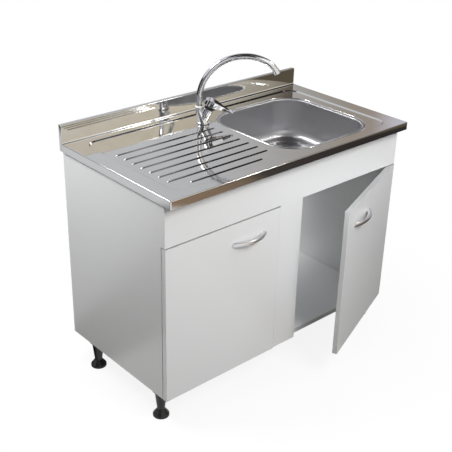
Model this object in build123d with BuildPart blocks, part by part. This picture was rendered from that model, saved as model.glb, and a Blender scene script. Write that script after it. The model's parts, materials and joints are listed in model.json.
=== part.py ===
from build123d import *
import os
from math import asin, atan2, cos, radians, sin, tan

# Kitchen sink unit: a two-door base cabinet on four screw legs under a pressed steel top
# with a drainer, one bowl, a waste with a bottle trap and a single-lever mixer tap.
# Millimetres. +X is to the right, +Y to the wall, +Z up. The floor is z = 0, x = 0 is the
# middle of the unit, and y = 0 is halfway between the wall side and the open door's edge.

# ---------------------------------------------------------------- whole unit
unit_width = 1100
unit_depth = 600
deck_height = 850
leg_height = 108
board = 18
side_overhang = 5
front_overhang = 37
rear_gap = 14
door_gap = 3
fascia_drop = 173
fascia_top_gap = 6
stile_width = 108
rear_rail_height = 100
edge_round = 1

# ---------------------------------------------------------------- steel top
sheet = 0.8
skirt_height = 28
upstand_height = 65
upstand_thickness = 17
fold_round = 1.5
recess_depth = 4
recess_slope = 5
recess_side_margin = 58
recess_front_margin = 42
recess_rear_margin = 38
recess_corner = 50
rib_count = 8
rib_pitch = 45
rib_width = 12
rib_height = 3
rib_first = 80
rib_left_inset = 86
rib_right_end = -40
rib_front_right_end = -105
rib_front_left_inset = 140
weld_gap = 0.1

# ---------------------------------------------------------------- bowl
bowl_x = 222
bowl_front_lap = 3
bowl_width = 444
bowl_length = 450
bowl_corner = 115
bowl_depth = 160
bowl_rim = 5
rim_roll = 6
wall_lean = 14
floor_round = 48
floor_lap = 2
dish_radius = 62
dish_depth = 8
dish_flat_radius = 56
drain_radius = 44

# ---------------------------------------------------------------- doors and hinges
open_angle = 21.5
hinge_inset = 7.4
hinge_setback = 9.5
hinge_from_end = 100
cup_radius = 17.5
cup_depth = 12.5
cup_from_edge = 4
cup_wall = 0.8
cup_ear_length = 58
cup_ear_width = 15
cup_ear_corner = 5
cup_ear_thickness = 1.2
cup_screw_offset = 24
cheek_gap = 0.4
cheek_width = 6
pin_radius = 1.2
pin_length = 15
eye_radius = 2
neck_height = 6
neck_thickness = 2.2
neck_reach = 17
neck_depth = 22
arm_height = 14
arm_length = 48
arm_thickness = 10
plate_thickness = 2.5
plate_height = 48
plate_depth = 34
plate_setback = 37
plate_screw_spacing = 32
buffer_radius = 4
buffer_thickness = 2.5
buffer_inset = 45

# ---------------------------------------------------------------- small fixings
fixing_plate_thickness = 1.2
fixing_plate_width = 70
fixing_plate_height = 90
fixing_plate_inset = 15
screw_head_radius = 3.5
screw_head_height = 1.5
dowel_radius = 4
dowel_length = 30
dowel_bite = 12
dowel_end_gap = 0.2
dowel_from_front = 65
dowel_from_rear = 90
dowel_from_edge = 35
stile_dowel_spread = 60
bracket_leg = 25
bracket_thickness = 2
bracket_width = 20
bracket_screw_drop = 16
bracket_from_end = 110

# ---------------------------------------------------------------- handles
handle_chord = 134
handle_reach = 27
handle_hole_spacing = 128
handle_from_edge = 71
handle_from_top = 74
handle_end_height = 15
handle_mid_height = 11
handle_end_thickness = 12
handle_mid_thickness = 8
handle_end_bite = 6
handle_screw_radius = 2
handle_screw_bite = 5
handle_hole_radius = 2.5

# ---------------------------------------------------------------- legs
leg_side_inset = 30
leg_front_inset = 49
leg_rear_inset = 106
leg_flange_radius = 29
leg_flange_thickness = 4
leg_top_radius = 22
leg_bottom_radius = 13.5
leg_screw_head_radius = 2.8
foot_radius = 28.5
foot_rim_height = 7
foot_rim_round = 3.5
foot_neck_radius = 13
foot_height = 28
foot_thread_radius = 6
foot_travel = 20
foot_thread_bite = 30

# ---------------------------------------------------------------- tap
tap_x = -38
tap_from_front = 459
tap_heading = -43
tap_hole_radius = 17.5
tap_gasket_thickness = 1.5
tap_base_radius = 24
tap_base_height = 5
column_radius = 21
column_height = 44
socket_back = 16
socket_radius = 13.5
socket_top = 60
socket_depth = 22
glide_ring_thickness = 2
housing_lean = 26
housing_start = 15
housing_radius = 18
housing_length = 42
cartridge_radius = 14
cartridge_length = 18
cartridge_neck_radius = 8.5
cartridge_neck_length = 8
nut_grip = 6
nut_flange_radius = 16
nut_flange_thickness = 3
spindle_radius = 5
spindle_depth = 20
spindle_tip = 4
lever_pivot = 50
lever_pin_radius = 1.5
lever_ear_thickness = 3
lever_ear_gap = 0.6
lever_ear_radius = 3
lever_rest = 6
lever_head_back = 25
lever_head_width = 44
lever_head_height = 22
lever_length = 75
lever_tip_rise = 14
lever_tip_width = 22
lever_tip_thickness = 4
lever_tip_round = 7.5
lever_neck = 30
lever_neck_height = 19
lever_waist = 34
lever_waist_width = 26
lever_shoulder_back = 19
lever_shoulder_height = 17.5
lever_heel_height = 9
spout_radius = 10.5
spout_wall = 1.5
spout_rise = 85
spout_bend = 162
spout_bend_end = 63.7
spout_tip_bend = 77
spout_tip_end = 30.9
aerator_radius = 12
aerator_length = 14
aerator_grip = 6
aerator_lip = 1
stud_radius = 4
stud_length = 75
stud_bite = 12
stud_forward = 12
inlet_radius = 5
inlet_depth = 14
inlet_back = 5
inlet_spacing = 16
clamp_radius = 22
clamp_slot = 30
clamp_slot_end = 6.5
clamp_gasket_thickness = 2
clamp_thickness = 2.5
stud_nut_flats = 13
stud_nut_height = 6.5

# ---------------------------------------------------------------- waste and trap
waste_rim_radius = 55
waste_rim_thickness = 1
waste_cup_radius = 42
waste_cup_depth = 42
waste_hole_count = 8
waste_hole_radius = 5
waste_hole_circle = 24
gasket_thickness = 3
housing_rim_thickness = 4
drain_housing_wall = 2.5
drain_housing_depth = 56
drain_cone_height = 14
spigot_radius = 20
spigot_length = 30
pipe_wall = 2.5
spider_width = 10
spider_height = 8
spider_gap = 2
waste_screw_radius = 3
waste_screw_head_radius = 6
waste_screw_head_height = 3
basket_clearance = 0.4
basket_wall = 1
basket_depth = 26
basket_foot_radius = 5
basket_knob_radius = 9
basket_knob_height = 8
basket_floor_radius = 30
trap_body_radius = 35
trap_body_height = 85
trap_body_wall = 3
trap_inlet_drop = 23
trap_dip = 20
trap_collar_radius = 25
trap_collar_height = 12
trap_nut_radius = 29
trap_nut_height = 22
trap_nut_sides = 12
trap_cup_radius = 38
trap_cup_height = 60
trap_cup_lap = 20
outlet_drop = 28
outlet_stub_radius = 23
outlet_stub_length = 24
outlet_nut_length = 18
outlet_step = 1
pad_inner_radius = 66
pad_outer_radius = 100
pad_thickness = 2

# ---------------------------------------------------------------- shared clearances
running = 0.05
seat_gap = 0.3

# ================================================================ places
half_width = unit_width / 2
cabinet_half = half_width - side_overhang
inner_half = cabinet_half - board
stile_half = stile_width / 2
door_width = cabinet_half - stile_half - door_gap
hinge_from_front = front_overhang - door_gap + board - hinge_setback
door_swing = (door_width - hinge_inset - edge_round) * sin(radians(open_angle))
door_reach = door_swing + (board - hinge_setback - edge_round) * cos(radians(open_angle)) + edge_round
front_y = (door_reach - hinge_from_front - unit_depth) / 2
rear_y = front_y + unit_depth
upstand_y = rear_y - upstand_thickness
fascia_y = front_y + front_overhang
carcass_front_y = fascia_y + board
carcass_rear_y = rear_y - rear_gap
hinge_y = front_y + hinge_from_front
hinge_x = cabinet_half - hinge_inset

deck_z = deck_height
deck_under_z = deck_z - sheet
recess_z = deck_z - recess_depth
fascia_bottom_z = deck_z - fascia_drop
door_bottom_z = leg_height
door_height = fascia_bottom_z - door_gap - door_bottom_z
floor_z = recess_z - bowl_depth
dish_z = floor_z - dish_depth
bowl_y = carcass_front_y - bowl_front_lap + bowl_length / 2
tap_y = front_y + tap_from_front

nodes = {}


def middle(low, high):
    return (low + high) / 2


def rounded_square(width, length, corner, shrink):
    """Sketch size and corner of a rounded rectangle drawn in by the same amount all round."""
    return width - 2 * shrink, length - 2 * shrink, corner - shrink


def turned(outline, base, plane=None):
    """A piece turned about the vertical axis (or the plane's z) from (radius, height) points."""
    frame = plane or Plane.XY.offset(0)
    origin = frame.from_local_coords(Vector(*base))
    section = Plane(origin=origin, x_dir=frame.x_dir, z_dir=-frame.y_dir)
    with BuildPart() as piece:
        with BuildSketch(section):
            with BuildLine():
                Polyline(*outline, close=True)
            make_face()
        revolve(axis=Axis(origin, frame.z_dir))
    return piece


# ================================================================ carcass
side_dowel_spots = [
    (carcass_front_y + dowel_from_front, leg_height + board / 2),
    (carcass_rear_y - dowel_from_rear, leg_height + board / 2),
    (carcass_rear_y - board / 2, leg_height + board + rear_rail_height / 2),
    (carcass_rear_y - board / 2, deck_under_z - rear_rail_height / 2),
]
fascia_height = deck_z - fascia_top_gap - fascia_bottom_z
fascia_dowel_heights = [fascia_bottom_z + dowel_from_edge, fascia_bottom_z + fascia_height - dowel_from_edge]
stile_dowel_spots = [-stile_dowel_spread / 2, stile_dowel_spread / 2]
panel_depth = carcass_rear_y - carcass_front_y
panel_height = deck_under_z - leg_height
panel_mid_y = middle(carcass_front_y, carcass_rear_y)


def side_panel(side):
    """A side board with its dowel holes; side is 1 on the right and -1 on the left."""
    with BuildPart() as panel:
        with Locations((side * (cabinet_half - board / 2), panel_mid_y, leg_height + panel_height / 2)):
            Box(board, panel_depth, panel_height)
        for y, z in side_dowel_spots:
            with Locations((side * (inner_half + dowel_bite / 2), y, z)):
                Cylinder(dowel_radius, dowel_bite, rotation=(0, 90, 0), mode=Mode.SUBTRACT)
        for z in fascia_dowel_heights:
            depth = dowel_length - dowel_bite
            with Locations((side * (cabinet_half - board / 2), carcass_front_y + depth / 2, z)):
                Cylinder(dowel_radius, depth, rotation=(90, 0, 0), mode=Mode.SUBTRACT)
    return panel


def cross_board(y_low, y_high, z_low, z_high, dowel_spots):
    """A board between the sides, with a dowel hole in each end at every spot."""
    depth = dowel_length - dowel_bite
    with BuildPart() as rail:
        with Locations((0, middle(y_low, y_high), middle(z_low, z_high))):
            Box(2 * inner_half, y_high - y_low, z_high - z_low)
        for y, z in dowel_spots:
            with Locations((inner_half - depth / 2, y, z), (-inner_half + depth / 2, y, z)):
                Cylinder(dowel_radius, depth, rotation=(0, 90, 0), mode=Mode.SUBTRACT)
    return rail


nodes["left_side_panel"] = side_panel(-1)
nodes["right_side_panel"] = side_panel(1)

bottom_panel = cross_board(
    carcass_front_y, carcass_rear_y, leg_height, leg_height + board, side_dowel_spots[:2])
with BuildPart() as bottom_panel_drilled:
    add(bottom_panel.part)
    for x in stile_dowel_spots:
        depth = dowel_length - dowel_bite
        with Locations((x, carcass_front_y + depth / 2, leg_height + board / 2)):
            Cylinder(dowel_radius, depth, rotation=(90, 0, 0), mode=Mode.SUBTRACT)
nodes["bottom_panel"] = bottom_panel_drilled

nodes["rear_bottom_rail"] = cross_board(
    carcass_rear_y - board, carcass_rear_y, leg_height + board,
    leg_height + board + rear_rail_height, side_dowel_spots[2:3])
nodes["rear_top_rail"] = cross_board(
    carcass_rear_y - board, carcass_rear_y, deck_under_z - rear_rail_height,
    deck_under_z, side_dowel_spots[3:])

with BuildPart() as front_fascia:
    with Locations((0, fascia_y + board / 2, fascia_bottom_z + fascia_height / 2)):
        Box(2 * cabinet_half, board, fascia_height)
    fillet(front_fascia.faces().sort_by(Axis.Y)[0].edges().filter_by(Axis.Z), edge_round)
    for side in (-1, 1):
        for z in fascia_dowel_heights:
            with Locations((side * (cabinet_half - board / 2), carcass_front_y - dowel_bite / 2, z)):
                Cylinder(dowel_radius, dowel_bite, rotation=(90, 0, 0), mode=Mode.SUBTRACT)
nodes["front_fascia"] = front_fascia

with BuildPart() as centre_stile:
    with Locations((0, fascia_y + board / 2, middle(leg_height, fascia_bottom_z))):
        Box(stile_width, board, fascia_bottom_z - leg_height)
    fillet(centre_stile.faces().sort_by(Axis.Y)[0].edges().filter_by(Axis.Z), edge_round)
    for x in stile_dowel_spots:
        with Locations((x, carcass_front_y - dowel_bite / 2, leg_height + board / 2)):
            Cylinder(dowel_radius, dowel_bite, rotation=(90, 0, 0), mode=Mode.SUBTRACT)
nodes["centre_stile"] = centre_stile

# A flat plate behind the joint of fascia and stile, held by four screws.
with BuildPart() as stile_plate:
    with Locations((0, carcass_front_y + fixing_plate_thickness / 2, fascia_bottom_z)):
        Box(fixing_plate_width, fixing_plate_thickness, fixing_plate_height)
    fillet(stile_plate.edges().filter_by(Axis.Y), edge_round)
nodes["stile_plate"] = stile_plate

with BuildPart() as wood_dowels:
    shown = dowel_length - 2 * dowel_end_gap
    for side in (-1, 1):
        for y, z in side_dowel_spots:
            with Locations((side * (inner_half + dowel_bite - dowel_length / 2), y, z)):
                Cylinder(dowel_radius - running, shown, rotation=(0, 90, 0))
        for z in fascia_dowel_heights:
            y = carcass_front_y - dowel_bite + dowel_length / 2
            with Locations((side * (cabinet_half - board / 2), y, z)):
                Cylinder(dowel_radius - running, shown, rotation=(90, 0, 0))
    for x in stile_dowel_spots:
        y = carcass_front_y - dowel_bite + dowel_length / 2
        with Locations((x, y, leg_height + board / 2)):
            Cylinder(dowel_radius - running, shown, rotation=(90, 0, 0))
nodes["wood_dowels"] = wood_dowels

# ================================================================ steel top
slope_angle = atan2(recess_depth, recess_slope)
under_ease = sheet * (1 / cos(slope_angle) - 1) / tan(slope_angle)
recess_width = unit_width - 2 * recess_side_margin
recess_length = upstand_y - recess_rear_margin - front_y - recess_front_margin
recess_mid_y = middle(front_y + recess_front_margin, upstand_y - recess_rear_margin)
hole_width = bowl_width + 2 * weld_gap
hole_length = bowl_length + 2 * weld_gap
hole_corner = bowl_corner + weld_gap
ribs = []
for row in range(rib_count):
    left = -half_width + (rib_front_left_inset if row == 0 else rib_left_inset)
    right = rib_front_right_end if row == 0 else rib_right_end
    ribs.append((middle(left, right), front_y + rib_first + row * rib_pitch, right - left))


def recess_tray(shrink, top_z, bottom_z):
    """The sloped tray of the wet area, as a solid between two heights."""
    with BuildPart() as tray:
        for z, inset in ((top_z, shrink), (bottom_z, shrink + recess_slope)):
            with BuildSketch(Plane.XY.offset(z)):
                with Locations((0, recess_mid_y)):
                    RectangleRounded(*rounded_square(recess_width, recess_length, recess_corner, inset))
        loft(ruled=True)
    return tray.part


def rib_solid(shrink, base_z, place):
    """One drainer rib with sloped sides standing on base_z."""
    x, y, length = place
    with BuildPart() as rib:
        for z, inset in ((base_z, shrink), (base_z + rib_height, shrink + rib_height)):
            with BuildSketch(Plane.XY.offset(z)):
                with Locations((x, y)):
                    SlotOverall(length - 2 * inset, rib_width - 2 * inset)
        loft(ruled=True)
    return rib.part


with BuildPart() as sink_deck:
    with Locations((0, middle(front_y, rear_y), deck_z - skirt_height / 2)):
        Box(unit_width, unit_depth, skirt_height)
    with Locations((0, rear_y - upstand_thickness / 2, deck_z + upstand_height / 2)):
        Box(unit_width, upstand_thickness, upstand_height)
    folds = sink_deck.edges().group_by(Axis.Z)[-1]
    folds += sink_deck.edges().filter_by(Axis.Z).group_by(Axis.Y)[0]
    deck_edges = sink_deck.edges().filter_by(lambda edge: abs(edge.center().Z - deck_z) < sheet)
    folds += deck_edges.filter_by(Axis.Y) + deck_edges.filter_by(Axis.X).group_by(Axis.Y)[0]
    fillet(folds, fold_round)
    with Locations((0, middle(front_y, rear_y), deck_under_z - skirt_height / 2)):
        Box(unit_width - 2 * sheet, unit_depth - 2 * sheet, skirt_height, mode=Mode.SUBTRACT)
    with Locations((0, rear_y - upstand_thickness / 2, deck_z - sheet + (upstand_height - sheet) / 2)):
        Box(unit_width - 2 * sheet, upstand_thickness - 2 * sheet, upstand_height + sheet,
            mode=Mode.SUBTRACT)
    add(recess_tray(-under_ease, deck_under_z, recess_z - sheet))
    add(recess_tray(0, deck_z, recess_z), mode=Mode.SUBTRACT)
    for place in ribs:
        add(rib_solid(0, recess_z, place))
        add(rib_solid(sheet / 2, recess_z - sheet, place), mode=Mode.SUBTRACT)
    with BuildSketch(Plane.XY.offset(recess_z - 2 * sheet)):
        with Locations((bowl_x, bowl_y)):
            RectangleRounded(hole_width, hole_length, hole_corner)
        with Locations((tap_x, tap_y)):
            Circle(tap_hole_radius)
    extrude(amount=3 * sheet, mode=Mode.SUBTRACT)
nodes["sink_deck"] = sink_deck

# The bowl's wall is one sheet section carried round a rounded rectangle.
wall_foot = bowl_rim + wall_lean + floor_round + rim_roll
with BuildPart() as sink_bowl:
    with BuildLine() as rim_path:
        start = (bowl_x + bowl_width / 2, bowl_y, recess_z)
        halfway = (bowl_x - bowl_width / 2, bowl_y, recess_z)
        rear_corners = [(end[0], bowl_y + bowl_length / 2, recess_z) for end in (start, halfway)]
        front_corners = [(end[0], bowl_y - bowl_length / 2, recess_z) for end in (halfway, start)]
        FilletPolyline(start, *rear_corners, halfway, radius=bowl_corner)
        FilletPolyline(halfway, *front_corners, start, radius=bowl_corner)
    with BuildSketch(Plane(origin=start, x_dir=(-1, 0, 0), z_dir=(0, 1, 0))):
        with BuildLine():
            section = FilletPolyline(
                (0, 0), (bowl_rim + rim_roll, 0), (bowl_rim + rim_roll + wall_lean, -bowl_depth),
                (wall_foot + floor_lap, -bowl_depth), radius=[rim_roll, floor_round])
            offset(section, amount=sheet, side=Side.RIGHT)
        make_face()
    sweep(path=rim_path.line)
    with BuildSketch(Plane.XY.offset(floor_z - sheet)):
        with Locations((bowl_x, bowl_y)):
            RectangleRounded(*rounded_square(bowl_width, bowl_length, bowl_corner, wall_foot))
            Circle(dish_radius, mode=Mode.SUBTRACT)
    extrude(amount=sheet)
    with BuildSketch(Plane(origin=(bowl_x, bowl_y, floor_z), x_dir=(1, 0, 0), z_dir=(0, -1, 0))):
        with BuildLine():
            dish = Polyline((dish_radius + floor_lap, 0), (dish_radius, 0),
                            (dish_flat_radius, -dish_depth), (drain_radius, -dish_depth))
            offset(dish, amount=sheet, side=Side.LEFT)
        make_face()
    revolve(axis=Axis((bowl_x, bowl_y, floor_z), (0, 0, 1)))
nodes["sink_bowl"] = sink_bowl

# A rubber-like ring glued under the bowl's floor to deaden its sound.
with BuildPart() as bowl_damping_pad:
    with BuildSketch(Plane.XY.offset(floor_z - sheet)):
        with Locations((bowl_x, bowl_y)):
            Circle(pad_outer_radius)
            Circle(pad_inner_radius, mode=Mode.SUBTRACT)
    extrude(amount=-pad_thickness)
nodes["bowl_damping_pad"] = bowl_damping_pad

# Angle brackets hold the top down to the side panels.
bracket_ys = [carcass_front_y + bracket_from_end, carcass_rear_y - bracket_from_end]
with BuildPart() as deck_brackets:
    for side in (-1, 1):
        for y in bracket_ys:
            with Locations((side * (inner_half - bracket_leg / 2), y, deck_under_z - bracket_thickness / 2)):
                Box(bracket_leg, bracket_width, bracket_thickness)
            with Locations((side * (inner_half - bracket_thickness / 2), y, deck_under_z - bracket_leg / 2)):
                Box(bracket_thickness, bracket_width, bracket_leg)
nodes["deck_brackets"] = deck_brackets

# ================================================================ waste and trap
dish_under_z = dish_z - sheet
housing_top_z = dish_under_z - gasket_thickness
housing_bottom_z = housing_top_z - drain_housing_depth
spigot_bottom_z = housing_bottom_z - drain_cone_height - spigot_length
drain_base = (bowl_x, bowl_y, dish_z)
housing_base = (bowl_x, bowl_y, housing_top_z)
cup_inner_radius = waste_cup_radius - waste_rim_thickness
housing_inner_radius = waste_cup_radius + spider_gap
housing_outer_radius = housing_inner_radius + drain_housing_wall
spigot_bore = spigot_radius - pipe_wall

waste_flange = turned(
    [(waste_screw_radius + running, -waste_cup_depth), (waste_cup_radius, -waste_cup_depth),
     (waste_cup_radius, 0), (waste_rim_radius, 0), (waste_rim_radius, waste_rim_thickness),
     (cup_inner_radius, waste_rim_thickness), (cup_inner_radius, waste_rim_thickness - waste_cup_depth),
     (waste_screw_radius + running, waste_rim_thickness - waste_cup_depth)],
    drain_base)
with BuildPart() as waste_flange_pierced:
    add(waste_flange.part)
    with BuildSketch(Plane.XY.offset(dish_z - waste_cup_depth)):
        with Locations((bowl_x, bowl_y)):
            with PolarLocations(waste_hole_circle, waste_hole_count):
                Circle(waste_hole_radius)
    extrude(amount=waste_rim_thickness, mode=Mode.SUBTRACT)
nodes["waste_flange"] = waste_flange_pierced

nodes["waste_gasket"] = turned(
    [(drain_radius, 0), (waste_rim_radius, 0), (waste_rim_radius, gasket_thickness),
     (drain_radius, gasket_thickness)],
    housing_base)

# The plastic housing under the bowl, with a bar across it that takes the long centre screw.
spider_top_z = dish_z - waste_cup_depth - spider_gap
waste_housing_shell = turned(
    [(housing_inner_radius, 0), (waste_rim_radius, 0), (waste_rim_radius, -housing_rim_thickness),
     (housing_outer_radius, -housing_rim_thickness), (housing_outer_radius, -drain_housing_depth),
     (spigot_radius, -drain_housing_depth - drain_cone_height),
     (spigot_radius, spigot_bottom_z - housing_top_z), (spigot_bore, spigot_bottom_z - housing_top_z),
     (spigot_bore, -drain_housing_depth - drain_cone_height + drain_housing_wall),
     (housing_inner_radius, -drain_housing_depth + drain_housing_wall)],
    housing_base)
with BuildPart() as waste_housing:
    add(waste_housing_shell.part)
    with Locations((bowl_x, bowl_y, spider_top_z - spider_height / 2)):
        Box(2 * housing_inner_radius + drain_housing_wall, spider_width, spider_height)
        Cylinder(waste_screw_radius + running, spider_height, mode=Mode.SUBTRACT)
nodes["waste_housing"] = waste_housing

cup_floor_z = dish_z - waste_cup_depth + waste_rim_thickness
waste_screw_length = cup_floor_z - spider_top_z + spider_height
nodes["waste_screw"] = turned(
    [(0, -waste_screw_length), (waste_screw_radius, -waste_screw_length),
     (waste_screw_radius, 0), (waste_screw_head_radius, 0),
     (waste_screw_head_radius, waste_screw_head_height), (0, waste_screw_head_height)],
    (bowl_x, bowl_y, cup_floor_z))

# The lift-out strainer basket stands on the head of the centre screw.
basket_radius = cup_inner_radius - basket_clearance
basket_base_z = cup_floor_z + waste_screw_head_height + seat_gap
basket_top = dish_z - basket_base_z
basket_floor = basket_top - basket_depth
basket_shell = turned(
    [(0, 0), (basket_foot_radius, 0), (basket_foot_radius, basket_floor),
     (basket_floor_radius, basket_floor), (basket_radius, basket_top),
     (basket_radius - basket_wall, basket_top + basket_wall),
     (basket_floor_radius - basket_wall, basket_floor + basket_wall),
     (basket_foot_radius, basket_floor + basket_wall), (basket_foot_radius, basket_top),
     (basket_knob_radius, basket_top), (basket_knob_radius, basket_top + basket_knob_height),
     (0, basket_top + basket_knob_height)],
    (bowl_x, bowl_y, basket_base_z))
with BuildPart() as strainer_basket:
    add(basket_shell.part)
    fillet(strainer_basket.edges().group_by(Axis.Z)[-1], edge_round)
    with BuildSketch(Plane.XY.offset(basket_base_z + basket_floor)):
        with Locations((bowl_x, bowl_y)):
            with PolarLocations(middle(basket_foot_radius, basket_floor_radius), waste_hole_count):
                Circle(waste_hole_radius)
    extrude(amount=basket_wall, mode=Mode.SUBTRACT)
nodes["strainer_basket"] = strainer_basket

# Bottle trap: the inlet tube dips into the body, and the body empties to the wall.
trap_top_z = spigot_bottom_z - trap_inlet_drop
trap_bottom_z = trap_top_z - trap_body_height
trap_inner_radius = trap_body_radius - trap_body_wall
outlet_z = trap_top_z - outlet_drop
inlet_bore = spigot_radius + running
outlet_neck_radius = spigot_radius - outlet_step
outlet_bore = outlet_neck_radius + running
nut_lip = outlet_nut_length / 3
trap_base = (bowl_x, bowl_y, trap_top_z)

nodes["trap_inlet_tube"] = turned(
    [(spigot_bore, 0), (spigot_radius, 0),
     (spigot_radius, trap_bottom_z + trap_dip - spigot_bottom_z),
     (spigot_bore, trap_bottom_z + trap_dip - spigot_bottom_z)],
    (bowl_x, bowl_y, spigot_bottom_z))

trap_shell = turned(
    [(inlet_bore, trap_collar_height), (trap_collar_radius, trap_collar_height), (trap_collar_radius, 0),
     (trap_body_radius, 0), (trap_body_radius, -trap_body_height), (trap_inner_radius, -trap_body_height),
     (trap_inner_radius, -trap_body_wall), (inlet_bore, -trap_body_wall)],
    trap_base)
stub_end_y = bowl_y + trap_body_radius + outlet_stub_length
to_wall = Plane(origin=(bowl_x, bowl_y, outlet_z), x_dir=(1, 0, 0), z_dir=(0, 1, 0))
with BuildPart() as trap_body:
    add(trap_shell.part)
    with BuildSketch(to_wall.offset(trap_inner_radius - trap_body_wall)):
        Circle(outlet_stub_radius)
    extrude(amount=stub_end_y - bowl_y - trap_inner_radius + trap_body_wall)
    with BuildSketch(Plane.XY.offset(trap_bottom_z)):
        with Locations((bowl_x, bowl_y)):
            Circle(trap_inner_radius)
    extrude(amount=trap_body_height - trap_body_wall, mode=Mode.SUBTRACT)
    with BuildSketch(to_wall.offset(trap_inner_radius - trap_body_wall)):
        Circle(outlet_bore)
    extrude(amount=unit_depth, mode=Mode.SUBTRACT)
nodes["trap_body"] = trap_body

nodes["trap_cup"] = turned(
    [(0, -trap_cup_height), (trap_cup_radius, -trap_cup_height), (trap_cup_radius, 0),
     (trap_body_radius + running, 0), (trap_body_radius + running, -trap_cup_lap),
     (trap_inner_radius, -trap_cup_lap), (trap_inner_radius, trap_body_wall - trap_cup_height),
     (0, trap_body_wall - trap_cup_height)],
    (bowl_x, bowl_y, trap_bottom_z + trap_cup_lap))

with BuildPart() as trap_outlet_pipe:
    shoulder = stub_end_y + nut_lip - bowl_y
    with BuildSketch(to_wall.offset(trap_body_radius)):
        Circle(outlet_neck_radius)
    extrude(amount=shoulder - trap_body_radius)
    with BuildSketch(to_wall.offset(shoulder)):
        Circle(spigot_radius)
    extrude(amount=rear_y - bowl_y - shoulder)
    with BuildSketch(to_wall.offset(trap_body_radius)):
        Circle(spigot_bore)
    extrude(amount=rear_y - bowl_y - trap_body_radius, mode=Mode.SUBTRACT)
nodes["trap_outlet_pipe"] = trap_outlet_pipe

# Two coupling nuts: one round the inlet tube's joint and one on the outlet stub.
with BuildPart() as trap_nuts:
    with BuildSketch(Plane.XY.offset(spigot_bottom_z - trap_nut_height / 2)):
        with Locations((bowl_x, bowl_y)):
            RegularPolygon(trap_nut_radius, trap_nut_sides)
            Circle(inlet_bore, mode=Mode.SUBTRACT)
    extrude(amount=trap_nut_height)
    for start, length, bore in (
            (nut_lip - outlet_nut_length, outlet_nut_length - nut_lip, outlet_stub_radius + running),
            (0, nut_lip, outlet_bore)):
        with BuildSketch(to_wall.offset(stub_end_y - bowl_y + start)):
            RegularPolygon(trap_nut_radius, trap_nut_sides)
            Circle(bore, mode=Mode.SUBTRACT)
        extrude(amount=length)
nodes["trap_nuts"] = trap_nuts

# ================================================================ legs and feet
leg_spots = {
    "front_left": (-1, carcass_front_y + leg_front_inset),
    "front_right": (1, carcass_front_y + leg_front_inset),
    "rear_left": (-1, carcass_rear_y - leg_rear_inset),
    "rear_right": (1, carcass_rear_y - leg_rear_inset),
}
leg_x = cabinet_half - leg_side_inset
leg_flange_z = leg_height - leg_flange_thickness
leg_bottom_z = foot_height + seat_gap
foot_thread_length = foot_travel + foot_thread_bite
foot_bore_depth = foot_thread_length + 2 * seat_gap
leg_screw_circle = middle(leg_top_radius, leg_flange_radius)


def leg(place):
    """A hollow plastic leg hung under the bottom panel by its flange."""
    side, y = place
    bore = foot_thread_radius + running
    return turned(
        [(0, leg_height), (leg_flange_radius, leg_height), (leg_flange_radius, leg_flange_z),
         (leg_top_radius, leg_flange_z), (leg_bottom_radius, leg_bottom_z), (bore, leg_bottom_z),
         (bore, leg_bottom_z + foot_bore_depth), (0, leg_bottom_z + foot_bore_depth)],
        (side * leg_x, y, 0))


def foot(place):
    """A bell-shaped foot on a threaded rod that screws up into the leg."""
    side, y = place
    blank = turned(
        [(0, 0), (foot_radius, 0), (foot_radius, foot_rim_height), (foot_neck_radius, foot_height),
         (foot_thread_radius, foot_height), (foot_thread_radius, foot_height + foot_thread_length),
         (0, foot_height + foot_thread_length)],
        (side * leg_x, y, 0))
    with BuildPart() as bell:
        add(blank.part)
        rim_edges = bell.edges().filter_by(lambda edge: abs(edge.center().Z - foot_rim_height) < running)
        fillet(rim_edges.filter_by(GeomType.CIRCLE), foot_rim_round)
    return bell


for corner, place in leg_spots.items():
    nodes[f"leg_{corner}"] = leg(place)
    nodes[f"foot_{corner}"] = foot(place)

# ================================================================ doors and hinges
door_mid_z = door_bottom_z + door_height / 2
hinge_rise = door_height / 2 - hinge_from_end
cup_u = cup_from_edge + cup_radius - hinge_inset
cup_floor_v = cup_depth - hinge_setback
side_face_u = hinge_x - inner_half
handle_rise = door_height / 2 - handle_from_top
handle_u = door_width - hinge_inset - handle_from_edge - handle_chord / 2
door_face_v = board - hinge_setback


def hinge_frame(side, angle, height):
    """Plane at the hinge pin: x runs along the door to its free edge, y runs out of its front."""
    turn = radians(angle)
    return Plane(
        origin=(side * hinge_x, hinge_y, height),
        x_dir=(-side * cos(turn), -sin(turn), 0),
        z_dir=(0, 0, side))


def facing_front(frame, along, out, rise=0):
    """Plane square to the door's face, seen from the front, at a place in the hinge frame."""
    origin = frame.from_local_coords(Vector(along, out, rise))
    return Plane(origin=origin, x_dir=frame.x_dir, z_dir=frame.y_dir)


def door_panel(side, angle):
    """One door leaf with its cup holes and its handle holes."""
    frame = hinge_frame(side, angle, door_mid_z)
    with BuildPart() as panel:
        with BuildSketch(frame):
            with Locations((door_width / 2 - hinge_inset, board / 2 - hinge_setback)):
                Rectangle(door_width, board)
        extrude(amount=door_height / 2, both=True)
        fillet(panel.edges().filter_by(Axis.Z), edge_round)
        for rise in (-hinge_rise, hinge_rise):
            with BuildSketch(facing_front(frame, cup_u, -hinge_setback, rise)):
                Circle(cup_radius)
            extrude(amount=cup_depth, mode=Mode.SUBTRACT)
        with BuildSketch(facing_front(frame, handle_u, -hinge_setback, side * handle_rise)):
            with GridLocations(handle_hole_spacing, 1, 2, 1):
                Circle(handle_hole_radius)
        extrude(amount=board, mode=Mode.SUBTRACT)
    return panel


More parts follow.
